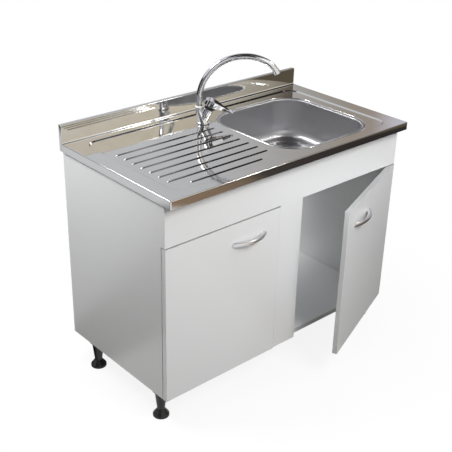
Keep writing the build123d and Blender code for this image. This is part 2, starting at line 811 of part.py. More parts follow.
def hinge_cups(side, angle):
    """Two steel cups with ears on the door's back and cheeks for the pin inside."""
    frame = hinge_frame(side, angle, door_mid_z)
    bore = cup_radius - running - cup_wall
    pin_clear = pin_length / 2
    with BuildPart() as cups:
        for rise in (-hinge_rise, hinge_rise):
            with BuildSketch(facing_front(frame, cup_u, -hinge_setback, rise)):
                Circle(cup_radius - running)
            extrude(amount=cup_depth - running)
            with BuildSketch(facing_front(frame, cup_u, -hinge_setback, rise)):
                Circle(cup_radius - running)
                with Locations((cup_ear_width / 2, 0)):
                    RectangleRounded(cup_ear_width, cup_ear_length, cup_ear_corner)
            extrude(amount=-cup_ear_thickness)
            with BuildSketch(facing_front(frame, cup_u, -hinge_setback - cup_ear_thickness, rise)):
                Circle(bore)
            extrude(amount=cup_depth + cup_ear_thickness - running - cup_wall, mode=Mode.SUBTRACT)
            with BuildSketch(facing_front(frame, cup_u, cup_floor_v - running - cup_wall, rise)):
                with Locations((-cup_u, 0)):
                    Rectangle(cheek_width, 2 * cup_radius)
                    Rectangle(cheek_width, neck_height + 2 * cheek_gap, mode=Mode.SUBTRACT)
                Circle(bore + cup_wall / 2, mode=Mode.INTERSECT)
            extrude(amount=-cup_floor_v - pin_radius)
            with BuildSketch(frame.offset(rise)):
                Circle(pin_radius)
            extrude(amount=pin_clear, both=True, mode=Mode.SUBTRACT)
    return cups


def hinge_pins(side, angle):
    """The pins on which the two hinges turn."""
    frame = hinge_frame(side, angle, door_mid_z)
    with BuildPart() as pins:
        for rise in (-hinge_rise, hinge_rise):
            with BuildSketch(frame.offset(rise)):
                Circle(pin_radius)
            extrude(amount=pin_length / 2, both=True)
    return pins


def door_screws(side, angle):
    """The screws of one door: through the ears of its cups, and from inside into its handle."""
    frame = hinge_frame(side, angle, door_mid_z)
    back = facing_front(frame, handle_u, -hinge_setback, side * handle_rise)
    with BuildPart() as screws:
        for rise in (-hinge_rise, hinge_rise):
            face = facing_front(frame, cup_u + cup_ear_width / 2, -hinge_setback - cup_ear_thickness, rise)
            with BuildSketch(face):
                with GridLocations(1, 2 * cup_screw_offset, 1, 2):
                    Circle(screw_head_radius)
            extrude(amount=-screw_head_height)
        for radius, length in ((handle_screw_radius, board + handle_screw_bite),
                               (screw_head_radius, -screw_head_height)):
            with BuildSketch(back):
                with GridLocations(handle_hole_spacing, 1, 2, 1):
                    Circle(radius)
            extrude(amount=length)
    return screws


def bow_handle(side, angle):
    """A bow handle: five ovals lofted along an arc and cut flat at the door's face."""
    frame = hinge_frame(side, angle, door_mid_z)
    half_chord = handle_chord / 2
    rise = handle_reach - handle_mid_thickness / 2
    radius = (half_chord ** 2 + rise ** 2) / (2 * rise)
    spread = asin(half_chord / radius) + handle_end_bite / radius
    steps = [-1, -0.5, 0, 0.5, 1]
    with BuildPart() as bow:
        for step in steps:
            turn = step * spread
            along = handle_u + radius * sin(turn)
            out = door_face_v + rise - radius + radius * cos(turn)
            origin = frame.from_local_coords(Vector(along, out, side * handle_rise))
            tangent = frame.x_dir * cos(turn) - frame.y_dir * sin(turn)
            height = handle_mid_height + (handle_end_height - handle_mid_height) * step ** 2
            thickness = handle_mid_thickness + (handle_end_thickness - handle_mid_thickness) * step ** 2
            with BuildSketch(Plane(origin=origin, x_dir=(0, 0, 1), z_dir=tangent)):
                Ellipse(height / 2, thickness / 2)
        loft()
        with BuildSketch(facing_front(frame, handle_u, door_face_v, side * handle_rise)):
            Rectangle(2 * handle_chord, 2 * handle_chord)
        extrude(amount=-handle_reach, mode=Mode.SUBTRACT)
        with BuildSketch(facing_front(frame, handle_u, door_face_v, side * handle_rise)):
            with GridLocations(handle_hole_spacing, 1, 2, 1):
                Circle(handle_screw_radius + running)
        extrude(amount=handle_screw_bite + seat_gap, mode=Mode.SUBTRACT)
    return bow


for hand, side, angle in (("left", -1, 0), ("right", 1, open_angle)):
    nodes[f"{hand}_door_panel"] = door_panel(side, angle)
    nodes[f"{hand}_hinge_cups"] = hinge_cups(side, angle)
    nodes[f"{hand}_hinge_pins"] = hinge_pins(side, angle)
    nodes[f"{hand}_handle"] = bow_handle(side, angle)
    nodes[f"{hand}_door_screws"] = door_screws(side, angle)

# The arms: an eye on each pin, a bent neck out of the cup and the arm's body on its plate.
hinge_heights = [door_mid_z - hinge_rise, door_mid_z + hinge_rise]
arm_centre_u = side_face_u + plate_thickness + arm_thickness / 2
with BuildPart() as hinge_arms:
    for side in (-1, 1):
        for height in hinge_heights:
            frame = hinge_frame(side, 0, height)
            with BuildSketch(frame):
                Circle(eye_radius)
                with Locations((neck_reach / 2, 0)):
                    Rectangle(neck_reach, neck_thickness)
                with Locations((neck_reach, (neck_thickness / 2 - neck_depth) / 2)):
                    Rectangle(neck_thickness, neck_depth + neck_thickness / 2)
                Circle(pin_radius + running, mode=Mode.SUBTRACT)
            extrude(amount=neck_height / 2, both=True)
            with BuildSketch(frame):
                with Locations((arm_centre_u, -neck_depth - arm_length / 2)):
                    Rectangle(arm_thickness, arm_length)
            extrude(amount=arm_height / 2, both=True)
nodes["hinge_arms"] = hinge_arms

plate_centre_v = hinge_setback - board - door_gap - plate_setback
with BuildPart() as hinge_plates:
    for side in (-1, 1):
        for height in hinge_heights:
            with BuildSketch(hinge_frame(side, 0, height)):
                with Locations((side_face_u + plate_thickness / 2, plate_centre_v)):
                    Rectangle(plate_thickness, plate_depth)
            extrude(amount=plate_height / 2, both=True)
nodes["hinge_plates"] = hinge_plates

# All the screw heads on the fixed cabinet, one group per fitting that they hold.
with BuildPart() as cabinet_screws:
    spread_x = fixing_plate_width - 2 * fixing_plate_inset
    spread_z = fixing_plate_height - 2 * fixing_plate_inset
    head_start_y = carcass_front_y + fixing_plate_thickness
    with BuildSketch(Plane(origin=(0, head_start_y, fascia_bottom_z), x_dir=(1, 0, 0), z_dir=(0, 1, 0))):
        with GridLocations(spread_x, spread_z, 2, 2):
            Circle(screw_head_radius)
    extrude(amount=screw_head_height)
    for side in (-1, 1):
        for y in bracket_ys:
            head = (side * (inner_half - bracket_thickness), y, deck_under_z - bracket_screw_drop)
            with BuildSketch(Plane(origin=head, x_dir=(0, 1, 0), z_dir=(-side, 0, 0))):
                Circle(screw_head_radius)
            extrude(amount=screw_head_height)
        for height in hinge_heights:
            frame = hinge_frame(side, 0, height)
            origin = frame.from_local_coords(Vector(side_face_u + plate_thickness, plate_centre_v, 0))
            with BuildSketch(Plane(origin=origin, x_dir=(0, 1, 0), z_dir=(-side, 0, 0))):
                with GridLocations(1, plate_screw_spacing, 1, 2):
                    Circle(screw_head_radius)
            extrude(amount=screw_head_height)
    with BuildSketch(Plane.XY.offset(leg_flange_z)):
        for side, y in leg_spots.values():
            with Locations((side * leg_x, y)):
                with PolarLocations(leg_screw_circle, 4, start_angle=45):
                    Circle(leg_screw_head_radius)
    extrude(amount=-screw_head_height)
nodes["cabinet_screws"] = cabinet_screws

board_edge = (0, carcass_front_y, leg_height + board / 2)
with BuildPart() as door_buffers:
    with BuildSketch(Plane(origin=board_edge, x_dir=(1, 0, 0), z_dir=(0, -1, 0))):
        for x in (stile_half + buffer_inset, cabinet_half - buffer_inset):
            with Locations((-x, 0), (x, 0)):
                Circle(buffer_radius)
    extrude(amount=buffer_thickness)
nodes["door_buffers"] = door_buffers

# ================================================================ tap
heading = radians(tap_heading)
lean = radians(housing_lean)
tap_foot = Plane(origin=(tap_x, tap_y, recess_z), x_dir=(cos(heading), sin(heading), 0), z_dir=(0, 0, 1))
tap_frame = tap_foot.offset(tap_gasket_thickness)
housing_frame = Plane(
    origin=tap_frame.from_local_coords(Vector(0, 0, housing_start)),
    x_dir=tap_frame.x_dir * cos(lean) - tap_frame.z_dir * sin(lean),
    z_dir=tap_frame.x_dir * sin(lean) + tap_frame.z_dir * cos(lean))
tap_side = Plane(origin=tap_frame.origin, x_dir=tap_frame.x_dir, z_dir=-tap_frame.y_dir)
socket_bore = spout_radius + running
cartridge_bottom = housing_length - nut_grip - cartridge_length
inlet_spots = [(-inlet_back, -inlet_spacing / 2), (-inlet_back, inlet_spacing / 2)]

with BuildPart() as tap_body:
    with BuildSketch(tap_frame):
        Circle(tap_base_radius)
    extrude(amount=tap_base_height)
    fillet(tap_body.faces().sort_by(Axis.Z)[-1].edges(), fold_round)
    with BuildSketch(tap_frame.offset(tap_base_height)):
        Circle(column_radius)
    with BuildSketch(tap_frame.offset(column_height)):
        with Locations((-socket_back, 0)):
            Circle(socket_radius)
    loft()
    with BuildSketch(tap_frame.offset(column_height)):
        with Locations((-socket_back, 0)):
            Circle(socket_radius)
    extrude(amount=socket_top - column_height)
    with BuildSketch(housing_frame):
        Circle(housing_radius)
    extrude(amount=housing_length)
    with BuildSketch(tap_frame.offset(socket_top)):
        with Locations((-socket_back, 0)):
            Circle(socket_bore)
    extrude(amount=-socket_depth, mode=Mode.SUBTRACT)
    with BuildSketch(housing_frame.offset(housing_length)):
        Circle(cartridge_radius)
    extrude(amount=cartridge_bottom - housing_length, mode=Mode.SUBTRACT)
    with BuildSketch(tap_frame):
        with Locations(*inlet_spots):
            Circle(inlet_radius)
    extrude(amount=inlet_depth, mode=Mode.SUBTRACT)
    with BuildSketch(tap_frame):
        with Locations((stud_forward, 0)):
            Circle(stud_radius + running)
    extrude(amount=stud_bite, mode=Mode.SUBTRACT)
nodes["tap_body"] = tap_body

with BuildPart() as tap_base_gasket:
    with BuildSketch(tap_foot):
        Circle(tap_base_radius - fold_round)
        Circle(tap_hole_radius, mode=Mode.SUBTRACT)
    extrude(amount=tap_gasket_thickness)
nodes["tap_base_gasket"] = tap_base_gasket

with BuildPart() as tap_stud:
    with BuildSketch(tap_frame.offset(stud_bite)):
        with Locations((stud_forward, 0)):
            Circle(stud_radius)
    extrude(amount=-stud_length)
nodes["tap_stud"] = tap_stud


def horseshoe(top_plane, thickness):
    """A washer plate under the top, open to the rear for the inlet hoses."""
    with BuildPart() as plate:
        with BuildSketch(top_plane):
            Circle(clamp_radius)
            with Locations((-clamp_radius, 0)):
                SlotOverall(2 * (clamp_radius + clamp_slot_end), clamp_slot, mode=Mode.SUBTRACT)
            with Locations((stud_forward, 0)):
                Circle(stud_radius + running, mode=Mode.SUBTRACT)
        extrude(amount=-thickness)
    return plate


clamp_plane = tap_foot.offset(-sheet)
nut_plane = clamp_plane.offset(-clamp_gasket_thickness - clamp_thickness)
nodes["tap_clamp_gasket"] = horseshoe(clamp_plane, clamp_gasket_thickness)
nodes["tap_clamp_plate"] = horseshoe(clamp_plane.offset(-clamp_gasket_thickness), clamp_thickness)
with BuildPart() as tap_stud_nut:
    with BuildSketch(nut_plane):
        with Locations((stud_forward, 0)):
            RegularPolygon(stud_nut_flats / 2, 6, major_radius=False)
            Circle(stud_radius + running, mode=Mode.SUBTRACT)
    extrude(amount=-stud_nut_height)
nodes["tap_stud_nut"] = tap_stud_nut

# The ceramic cartridge, its nut, and the spindle that the lever tilts and turns.
cartridge_top = housing_length - nut_grip
spindle_bottom = cartridge_top + cartridge_neck_length - spindle_depth
with BuildPart() as tap_cartridge:
    with BuildSketch(housing_frame.offset(cartridge_bottom)):
        Circle(cartridge_radius - running)
    extrude(amount=cartridge_length)
    with BuildSketch(housing_frame.offset(cartridge_top)):
        Circle(cartridge_neck_radius)
    extrude(amount=cartridge_neck_length)
    with BuildSketch(housing_frame.offset(spindle_bottom - seat_gap)):
        Circle(spindle_radius + running)
    extrude(amount=spindle_depth + seat_gap, mode=Mode.SUBTRACT)
nodes["tap_cartridge"] = tap_cartridge

with BuildPart() as tap_cartridge_nut:
    with BuildSketch(housing_frame.offset(cartridge_top)):
        Circle(cartridge_radius - running)
    extrude(amount=nut_grip)
    with BuildSketch(housing_frame.offset(housing_length)):
        Circle(nut_flange_radius)
    extrude(amount=nut_flange_thickness)
    with BuildSketch(housing_frame.offset(cartridge_top)):
        Circle(cartridge_neck_radius + running)
    extrude(amount=nut_grip + nut_flange_thickness, mode=Mode.SUBTRACT)
nodes["tap_cartridge_nut"] = tap_cartridge_nut

pivot_frame = Plane(
    origin=housing_frame.from_local_coords(Vector(0, 0, lever_pivot)),
    x_dir=housing_frame.x_dir, z_dir=-tap_frame.y_dir)
with BuildPart() as tap_spindle:
    with BuildSketch(housing_frame.offset(spindle_bottom)):
        Circle(spindle_radius)
    extrude(amount=lever_pivot + spindle_tip - spindle_bottom)
    with BuildSketch(pivot_frame):
        Circle(lever_pin_radius)
    extrude(amount=spindle_radius, both=True, mode=Mode.SUBTRACT)
nodes["tap_spindle"] = tap_spindle

ear_start = spindle_radius + lever_ear_gap
with BuildPart() as tap_lever_pin:
    with BuildSketch(pivot_frame):
        Circle(lever_pin_radius)
    extrude(amount=ear_start + lever_ear_thickness, both=True)
nodes["tap_lever_pin"] = tap_lever_pin

# The lever: a side outline cut to its plan outline, with two ears on the pin.
lever_tip_start = lever_length - lever_tip_round
with BuildPart() as tap_lever:
    with BuildSketch(pivot_frame):
        with BuildLine():
            Polyline((edge_round - lever_head_back, lever_rest), (lever_head_height, lever_rest),
                     (lever_length, lever_rest + lever_tip_rise))
            Line((lever_length, lever_rest + lever_tip_rise),
                 (lever_length, lever_rest + lever_tip_rise + lever_tip_thickness))
            Spline((lever_length, lever_rest + lever_tip_rise + lever_tip_thickness),
                   (lever_neck, lever_rest + lever_neck_height),
                   (0, lever_rest + lever_head_height),
                   (-lever_shoulder_back, lever_rest + lever_shoulder_height),
                   (-lever_head_back, lever_rest + lever_heel_height),
                   (edge_round - lever_head_back, lever_rest))
        make_face()
    extrude(amount=lever_head_width, both=True)
    with BuildSketch(housing_frame.offset(lever_pivot)):
        with BuildLine():
            ThreePointArc((0, lever_head_width / 2), (-lever_head_back, 0), (0, -lever_head_width / 2))
            Spline((0, -lever_head_width / 2), (lever_waist, -lever_waist_width / 2),
                   (lever_tip_start, -lever_tip_width / 2), tangents=[(1, 0), (1, 0)])
            ThreePointArc((lever_tip_start, -lever_tip_width / 2), (lever_length, 0),
                          (lever_tip_start, lever_tip_width / 2))
            Spline((lever_tip_start, lever_tip_width / 2), (lever_waist, lever_waist_width / 2),
                   (0, lever_head_width / 2), tangents=[(-1, 0), (-1, 0)])
        make_face()
    extrude(amount=lever_length, mode=Mode.INTERSECT)
    for turn in (-1, 1):
        with BuildSketch(pivot_frame.offset(turn * ear_start)):
            Circle(lever_ear_radius)
            with Locations((0, lever_rest / 2)):
                Rectangle(2 * lever_ear_radius, lever_rest)
            Circle(lever_pin_radius + running, mode=Mode.SUBTRACT)
        extrude(amount=turn * lever_ear_thickness)
nodes["tap_lever"] = tap_lever

# The swan-neck spout: a straight riser, a long bend and a tighter bend at its end.
socket_floor = socket_top - socket_depth
riser_x = -socket_back
bend_centre = Vector(riser_x + spout_bend, spout_rise)
tip_turn = radians(spout_bend_end)
tip_centre = bend_centre + Vector(cos(tip_turn), sin(tip_turn)) * (spout_bend - spout_tip_bend)
outlet_turn = radians(spout_tip_end)
bend_end = tip_centre + Vector(cos(outlet_turn), sin(outlet_turn)) * spout_tip_bend
outlet_end = bend_end + Vector(sin(outlet_turn), -cos(outlet_turn)) * aerator_grip
with BuildPart() as tap_spout:
    with BuildLine(tap_side) as spout_line:
        Line((riser_x, socket_floor + seat_gap), (riser_x, spout_rise))
        CenterArc((bend_centre.X, bend_centre.Y), spout_bend, 180, spout_bend_end - 180)
        tip_sweep = spout_tip_end - spout_bend_end
        CenterArc((tip_centre.X, tip_centre.Y), spout_tip_bend, spout_bend_end, tip_sweep)
        Line((bend_end.X, bend_end.Y), (outlet_end.X, outlet_end.Y))
    with BuildSketch(tap_frame.offset(socket_floor + seat_gap)):
        with Locations((riser_x, 0)):
            Circle(spout_radius)
            Circle(spout_radius - spout_wall, mode=Mode.SUBTRACT)
    sweep(path=spout_line.line)
nodes["tap_spout"] = tap_spout

with BuildPart() as tap_glide_ring:
    with BuildSketch(tap_frame.offset(socket_top)):
        with Locations((riser_x, 0)):
            Circle(socket_radius)
            Circle(socket_bore, mode=Mode.SUBTRACT)
    extrude(amount=glide_ring_thickness)
nodes["tap_glide_ring"] = tap_glide_ring

outlet_origin = tap_side.from_local_coords(Vector(outlet_end.X, outlet_end.Y, 0))
outlet_frame = Plane(
    origin=outlet_origin, x_dir=-tap_frame.y_dir,
    z_dir=tap_frame.x_dir * sin(outlet_turn) - tap_frame.z_dir * cos(outlet_turn))
aerator_end = aerator_length - aerator_grip
aerator_bore = spout_radius - aerator_lip
nodes["tap_aerator"] = turned(
    [(spout_radius + running, -aerator_grip), (aerator_radius, -aerator_grip), (aerator_radius, aerator_end),
     (aerator_bore, aerator_end), (aerator_bore, aerator_end / 2), (0, aerator_end / 2),
     (0, aerator_lip), (aerator_bore, aerator_lip), (aerator_bore, 0), (spout_radius + running, 0)],
    (0, 0, 0), outlet_frame)

os.makedirs("parts", exist_ok=True)
for name, piece in nodes.items():
    piece.part.label = name
    export_step(piece.part, f"parts/{name}.step")
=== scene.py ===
"""The looks of a two-door kitchen sink unit: its finishes, fine parts, light and camera."""

import json
import logging
import math
from dataclasses import dataclass
from enum import Enum
from typing import Any, Iterable, Sequence

import bmesh
import bpy
from mathutils import Matrix, Vector, geometry

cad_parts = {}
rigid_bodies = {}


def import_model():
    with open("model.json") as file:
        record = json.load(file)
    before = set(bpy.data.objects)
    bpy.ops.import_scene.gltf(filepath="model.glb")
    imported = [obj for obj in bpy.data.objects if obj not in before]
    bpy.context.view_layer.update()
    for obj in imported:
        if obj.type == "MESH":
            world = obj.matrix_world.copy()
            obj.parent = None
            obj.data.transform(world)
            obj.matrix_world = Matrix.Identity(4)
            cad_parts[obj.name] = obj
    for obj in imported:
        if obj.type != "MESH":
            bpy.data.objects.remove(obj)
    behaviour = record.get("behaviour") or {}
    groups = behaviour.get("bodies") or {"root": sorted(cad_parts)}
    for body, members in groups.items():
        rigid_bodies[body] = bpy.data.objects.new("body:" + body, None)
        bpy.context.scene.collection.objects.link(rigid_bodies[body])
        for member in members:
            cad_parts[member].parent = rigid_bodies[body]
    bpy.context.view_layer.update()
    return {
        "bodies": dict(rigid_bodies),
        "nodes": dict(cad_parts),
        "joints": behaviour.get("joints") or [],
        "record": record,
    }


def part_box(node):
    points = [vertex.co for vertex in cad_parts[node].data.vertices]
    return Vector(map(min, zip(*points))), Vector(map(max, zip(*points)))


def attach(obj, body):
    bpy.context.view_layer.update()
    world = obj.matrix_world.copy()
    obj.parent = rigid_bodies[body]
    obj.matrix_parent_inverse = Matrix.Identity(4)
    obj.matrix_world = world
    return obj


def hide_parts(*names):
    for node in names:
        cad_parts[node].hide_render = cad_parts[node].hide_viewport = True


log = logging.getLogger("kitchen_sink_unit")
MM = 0.001

# Creases are in degrees, welds in metres, and the flat tolerance and the hair in millimetres.
CREASE = 32.0
UNCREASED = 180.0
WELD = 1e-6
FINE_WELD = 1e-7
FLAT_TOLERANCE = 1e-5
HAIR = 0.01

Colour = tuple[float, float, float]
Point = tuple[float, float, float]
Piece = bpy.types.Object
Ring = list[bmesh.types.BMVert]


# ---- shader maths
class Value:
    """A number or a colour on its way through nodes; arithmetic on it adds Math nodes."""

    def __init__(self, graph: "Graph", socket: bpy.types.NodeSocket) -> None:
        """Wraps one output socket of a graph."""
        self.graph = graph
        self.socket = socket

    def _maths(self, operation: str, other: Any) -> "Value":
        """Adds one Math node and returns its result."""
        return self.graph.node("ShaderNodeMath", {0: self, 1: other}, operation=operation)

    def __add__(self, other: Any) -> "Value":
        """self + other."""
        return self._maths("ADD", other)

    __radd__ = __add__

    def __sub__(self, other: Any) -> "Value":
        """self - other."""
        return self._maths("SUBTRACT", other)

    def __mul__(self, other: Any) -> "Value":
        """self * other."""
        return self._maths("MULTIPLY", other)

    def __truediv__(self, other: Any) -> "Value":
        """self / other."""
        return self._maths("DIVIDE", other)

    def faded(self, start: float, end: float) -> "Value":
        """0 at start, 1 at end and smooth between them, in either order."""
        return self.graph.node(
            "ShaderNodeMapRange", {0: self, 1: start, 2: end, 3: 0.0, 4: 1.0},
            interpolation_type="SMOOTHSTEP")

    def within(self, rise: tuple[float, float], fall: tuple[float, float]) -> "Value":
        """1 between a rise and a fall, each given by its start and its end."""
        return self.faded(*rise) * self.faded(*fall)


class Graph:
    """The node tree of a material, of the world or of a repeat."""

    def __init__(self, tree: bpy.types.NodeTree) -> None:
        """Empties the tree and starts a new one in it."""
        self.tree = tree
        tree.nodes.clear()

    def _feed(self, target: bpy.types.NodeSocket, value: Any) -> None:
        """Links or writes one input socket."""
        if isinstance(value, Value):
            self.tree.links.new(value.socket, target)
        elif value is not None:
            target.default_value = value

    def node(self, kind: str, values: dict[Any, Any] | None = None, out: Any = 0,
             stops: Sequence[tuple[float, Sequence[float]]] = (), **settings: Any) -> Value:
        """Adds a node.

        Args:
            kind: The node's type.
            values: Its inputs by name or number, as numbers, colours or Values.
            out: The name or number of the output to return.
            stops: A colour ramp's stops, as place and colour.
            **settings: The node's own settings, such as operation, set before its inputs.

        Returns:
            The chosen output as a Value.
        """
        made = self.tree.nodes.new(kind)
        for name, setting in settings.items():
            setattr(made, name, setting)
        if stops:
            ramp = made.color_ramp
            while len(ramp.elements) < len(stops):
                ramp.elements.new(1.0)
            for element, (place, colour) in zip(ramp.elements, stops):
                element.position = place
                element.color = (*colour, 1.0)
        for name, value in (values or {}).items():
            self._feed(made.inputs[name], value)
        return Value(self, made.outputs[out])

    def place(self) -> Value:
        """The object's own coordinates in metres."""
        return self.node("ShaderNodeTexCoord", out="Object")

    def part(self, vector: Value, axis: str) -> Value:
        """One of the three numbers of a vector."""
        return self.node("ShaderNodeSeparateXYZ", {0: vector}, out=axis)

    def length(self, vector: Value) -> Value:
        """How long a vector is."""
        return self.node("ShaderNodeVectorMath", {0: vector}, out="Value", operation="LENGTH")

    def stretched(self, vector: Value, scale: Point, turn: Point = (0.0, 0.0, 0.0)) -> Value:
        """A vector scaled along its axes and turned, for grain with a direction."""
        return self.node("ShaderNodeMapping", {"Vector": vector, "Scale": scale, "Rotation": turn})

    def noise(self, vector: Value, scale: float, detail: float = 3.0,
              roughness: float = 0.55) -> Value:
        """Cloudy noise between 0 and 1, with scale in lumps a metre."""
        return self.node(
            "ShaderNodeTexNoise",
            {"Vector": vector, "Scale": scale, "Detail": detail, "Roughness": roughness})

    def mixed(self, share: Any, first: Any, second: Any) -> Value:
        """A colour between first and second, each a plain colour or a Value."""
        first, second = (c if isinstance(c, Value) else (*c, 1.0) for c in (first, second))
        return self.node("ShaderNodeMix", {0: share, 6: first, 7: second}, out=2, data_type="RGBA")

    def layered(self, under: Value, *layers: tuple[Any, Colour]) -> Value:
        """A colour with others laid over it, each by its share."""
        for share, colour in layers:
            under = self.mixed(share, under, colour)
        return under

    def bump(self, height: Value, depth: float, strength: float = 1.0,
             under: Value | None = None) -> Value:
        """A normal bent by a height from 0 to 1 that stands for depth metres."""
        return self.node(
            "ShaderNodeBump",
            {"Height": height, "Distance": depth, "Strength": strength, "Normal": under})

    def finish(self, surface: Value, kind: str = "ShaderNodeOutputMaterial") -> None:
        """Ends the tree in its output."""
        output = self.tree.nodes.new(kind)
        self.tree.links.new(surface.socket, output.inputs[0])


# ---- finishes
class Slot(Enum):
    """The record's material slots."""

    LAMINATE = "white_laminate"
    POLISHED_STEEL = "polished_steel"
    SATIN_STEEL = "satin_steel"
    CHROME = "chrome"
    BLACK_PLASTIC = "black_plastic"
    WHITE_PLASTIC = "white_plastic"
    RUBBER = "rubber"
    CLEAR_RUBBER = "buffer_rubber"
    BEECH = "beech"
    BRASS = "brass"
    ZINC = "zinc_steel"


@dataclass(frozen=True)
class Finish:
    """A surface: what every finish shares, with one method for its varying part."""

    name: str
    colour: Colour
    roughness: float = 0.4
    metal: float = 0.0
    edge: float = 0.0

    def surface(self, graph: Graph) -> dict[str, Any]:
        """The shader's inputs for this finish.

        Args:
            graph: The material's node tree.

        Returns:
            Input names with their numbers or Values.
        """
        raise NotImplementedError

    def shaded(self, share: float) -> Colour:
        """The finish's colour at a share of its brightness."""
        return tuple(channel * share for channel in self.colour)

    def eased(self, graph: Graph) -> Value | None:
        """A normal that softens the edges of sheet and moulding, or nothing."""
        if not self.edge:
            return None
        return graph.node("ShaderNodeBevel", {"Radius": self.edge}, samples=4)

    def material(self) -> bpy.types.Material:
        """Builds the finish's material once and returns it after that."""
        made = bpy.data.materials.get(self.name)
        if made:
            return made
        made = bpy.data.materials.new(self.name)
        made.use_nodes = True
        graph = Graph(made.node_tree)
        inputs: dict[str, Any] = {
            "Base Color": (*self.colour, 1.0), "Roughness": self.roughness, "Metallic": self.metal}
        inputs.update(self.surface(graph))
        graph.finish(graph.node("ShaderNodeBsdfPrincipled", inputs))
        made.diffuse_color = (*self.colour, 1.0)
        return made


@dataclass(frozen=True)
class Laminate(Finish):
    """Glossy white laminate with a fine orange peel and faint wiping marks."""

    peel: float = 0.00002
    warmth: Colour = (0.997, 0.994, 0.988)
    wiping: float = 0.02
    coat: float = 0.3
    coat_roughness: float = 0.14

    def surface(self, graph: Graph) -> dict[str, Any]:
        """A barely warmer cloud here and there, wiped gloss and peel."""
        place = graph.place()
        clouds = graph.noise(place, 1.6, 1.0)
        marks = graph.noise(graph.stretched(place, (5.0, 5.0, 2.0)), 1.0, 3.0, 0.5)
        warm = tuple(c * k for c, k in zip(self.colour, self.warmth))
        return {
            "Base Color": graph.mixed(clouds, self.colour, warm),
            "Roughness": self.roughness + marks.faded(0.2, 0.8) * self.wiping,
            "Normal": graph.bump(graph.noise(place, 700.0, 1.0), self.peel, 0.3, self.eased(graph)),
            "Coat Weight": self.coat,
            "Coat Roughness": self.coat_roughness,
        }


@dataclass(frozen=True)
class Polished(Finish):
    """Bright metal with slow waves from its sheet, wiping marks and fine scratches."""

    wave: float = 0.0
    wave_scale: float = 5.0
    scratch: float = 0.03
    hair_share: float = 0.4
    worn: float = 0.95

    def surface(self, graph: Graph) -> dict[str, Any]:
        """Wiping marks in the gloss and waves in the sheet."""
        place = graph.place()
        wiped = graph.noise(
            graph.stretched(place, (14.0, 3.0, 14.0), (0.0, 0.0, 0.6)), 1.0, 5.0, 0.6)
        hair = graph.noise(graph.stretched(place, (30.0, 900.0, 900.0)), 1.0, 2.0)
        normal = self.eased(graph)
        if self.wave:
            waves = graph.noise(place, self.wave_scale, 1.0, 0.4)
            normal = graph.bump(waves, self.wave, 1.0, normal)
        return {
            "Base Color": graph.mixed(wiped.faded(0.35, 0.8), self.colour, self.shaded(self.worn)),
            "Roughness": (self.roughness + wiped.faded(0.3, 0.85) * self.scratch
                          + hair * self.scratch * self.hair_share),
            "Normal": normal,
        }


@dataclass(frozen=True)
class Satin(Finish):
    """Steel drawn and brushed to a soft sheen, with the marks running round its middle."""

    middle: Point = (0.0, 0.0, 0.0)
    rings_a_metre: float = 900.0
    ring_depth: float = 0.00002
    darkest: float = 0.88
    brushing: float = 0.8

    def surface(self, graph: Graph) -> dict[str, Any]:
        """Rings of fine brushing and soft clouds."""
        place = graph.place()
        out = graph.length(graph.node(
            "ShaderNodeVectorMath", {0: place, 1: self.middle}, operation="SUBTRACT"))
        rings = graph.node(
            "ShaderNodeTexNoise", {"W": out * self.rings_a_metre, "Scale": 1.0},
            noise_dimensions="1D")
        clouds = graph.noise(place, 7.0, 2.0)
        return {
            "Base Color": graph.mixed(
                clouds.faded(0.3, 0.75) * 0.6 + rings * 0.25, self.colour,
                self.shaded(self.darkest)),
            "Roughness": self.roughness + clouds.faded(0.3, 0.8) * 0.05 + rings * 0.04,
            "Normal": graph.bump(rings, self.ring_depth, 0.4),
            "Anisotropic": self.brushing,
        }


@dataclass(frozen=True)
class Moulded(Finish):
    """Plastic or rubber with a fine moulded grain."""

    grain: float = 0.00003
    grain_scale: float = 1800.0

    def surface(self, graph: Graph) -> dict[str, Any]:
        """Fine grain, slight clouds and rubbed patches."""
        place = graph.place()
        clouds = graph.noise(place, 22.0, 3.0)
        lighter = tuple(min(1.0, c * 1.25 + 0.004) for c in self.colour)
        return {
            "Base Color": graph.mixed(clouds.faded(0.4, 0.8) * 0.5, self.colour, lighter),
            "Roughness": self.roughness + clouds.faded(0.35, 0.8) * 0.12,
            "Normal": graph.bump(
                graph.noise(place, self.grain_scale, 2.0), self.grain, 0.4, self.eased(graph)),
        }


@dataclass(frozen=True)
class Plated(Finish):
    """Zinc or brass with blotches, fine turning marks and dull spots."""

    tarnish: float = 0.72
    turning: float = 0.00003

    def surface(self, graph: Graph) -> dict[str, Any]:
        """Blotches in colour and gloss."""
        place = graph.place()
        blotches = graph.noise(place, 60.0, 4.0, 0.65)
        return {
            "Base Color": graph.mixed(
                blotches.faded(0.35, 0.75), self.colour, self.shaded(self.tarnish)),
            "Roughness": self.roughness + blotches.faded(0.3, 0.8) * 0.18,
            "Normal": graph.bump(graph.noise(place, 700.0, 3.0), self.turning, 0.4),
        }


@dataclass(frozen=True)
class Wood(Finish):
    """Turned beech with short grain along X."""

    late_wood: float = 0.7
    pores: float = 0.0001

    def surface(self, graph: Graph) -> dict[str, Any]:
        """Grain lines and pores."""
        grain = graph.noise(graph.stretched(graph.place(), (12.0, 260.0, 260.0)), 1.0, 5.0, 0.6)
        return {
            "Base Color": graph.mixed(
                grain.faded(0.3, 0.8), self.colour, self.shaded(self.late_wood)),
            "Normal": graph.bump(grain, self.pores, 0.5),
        }


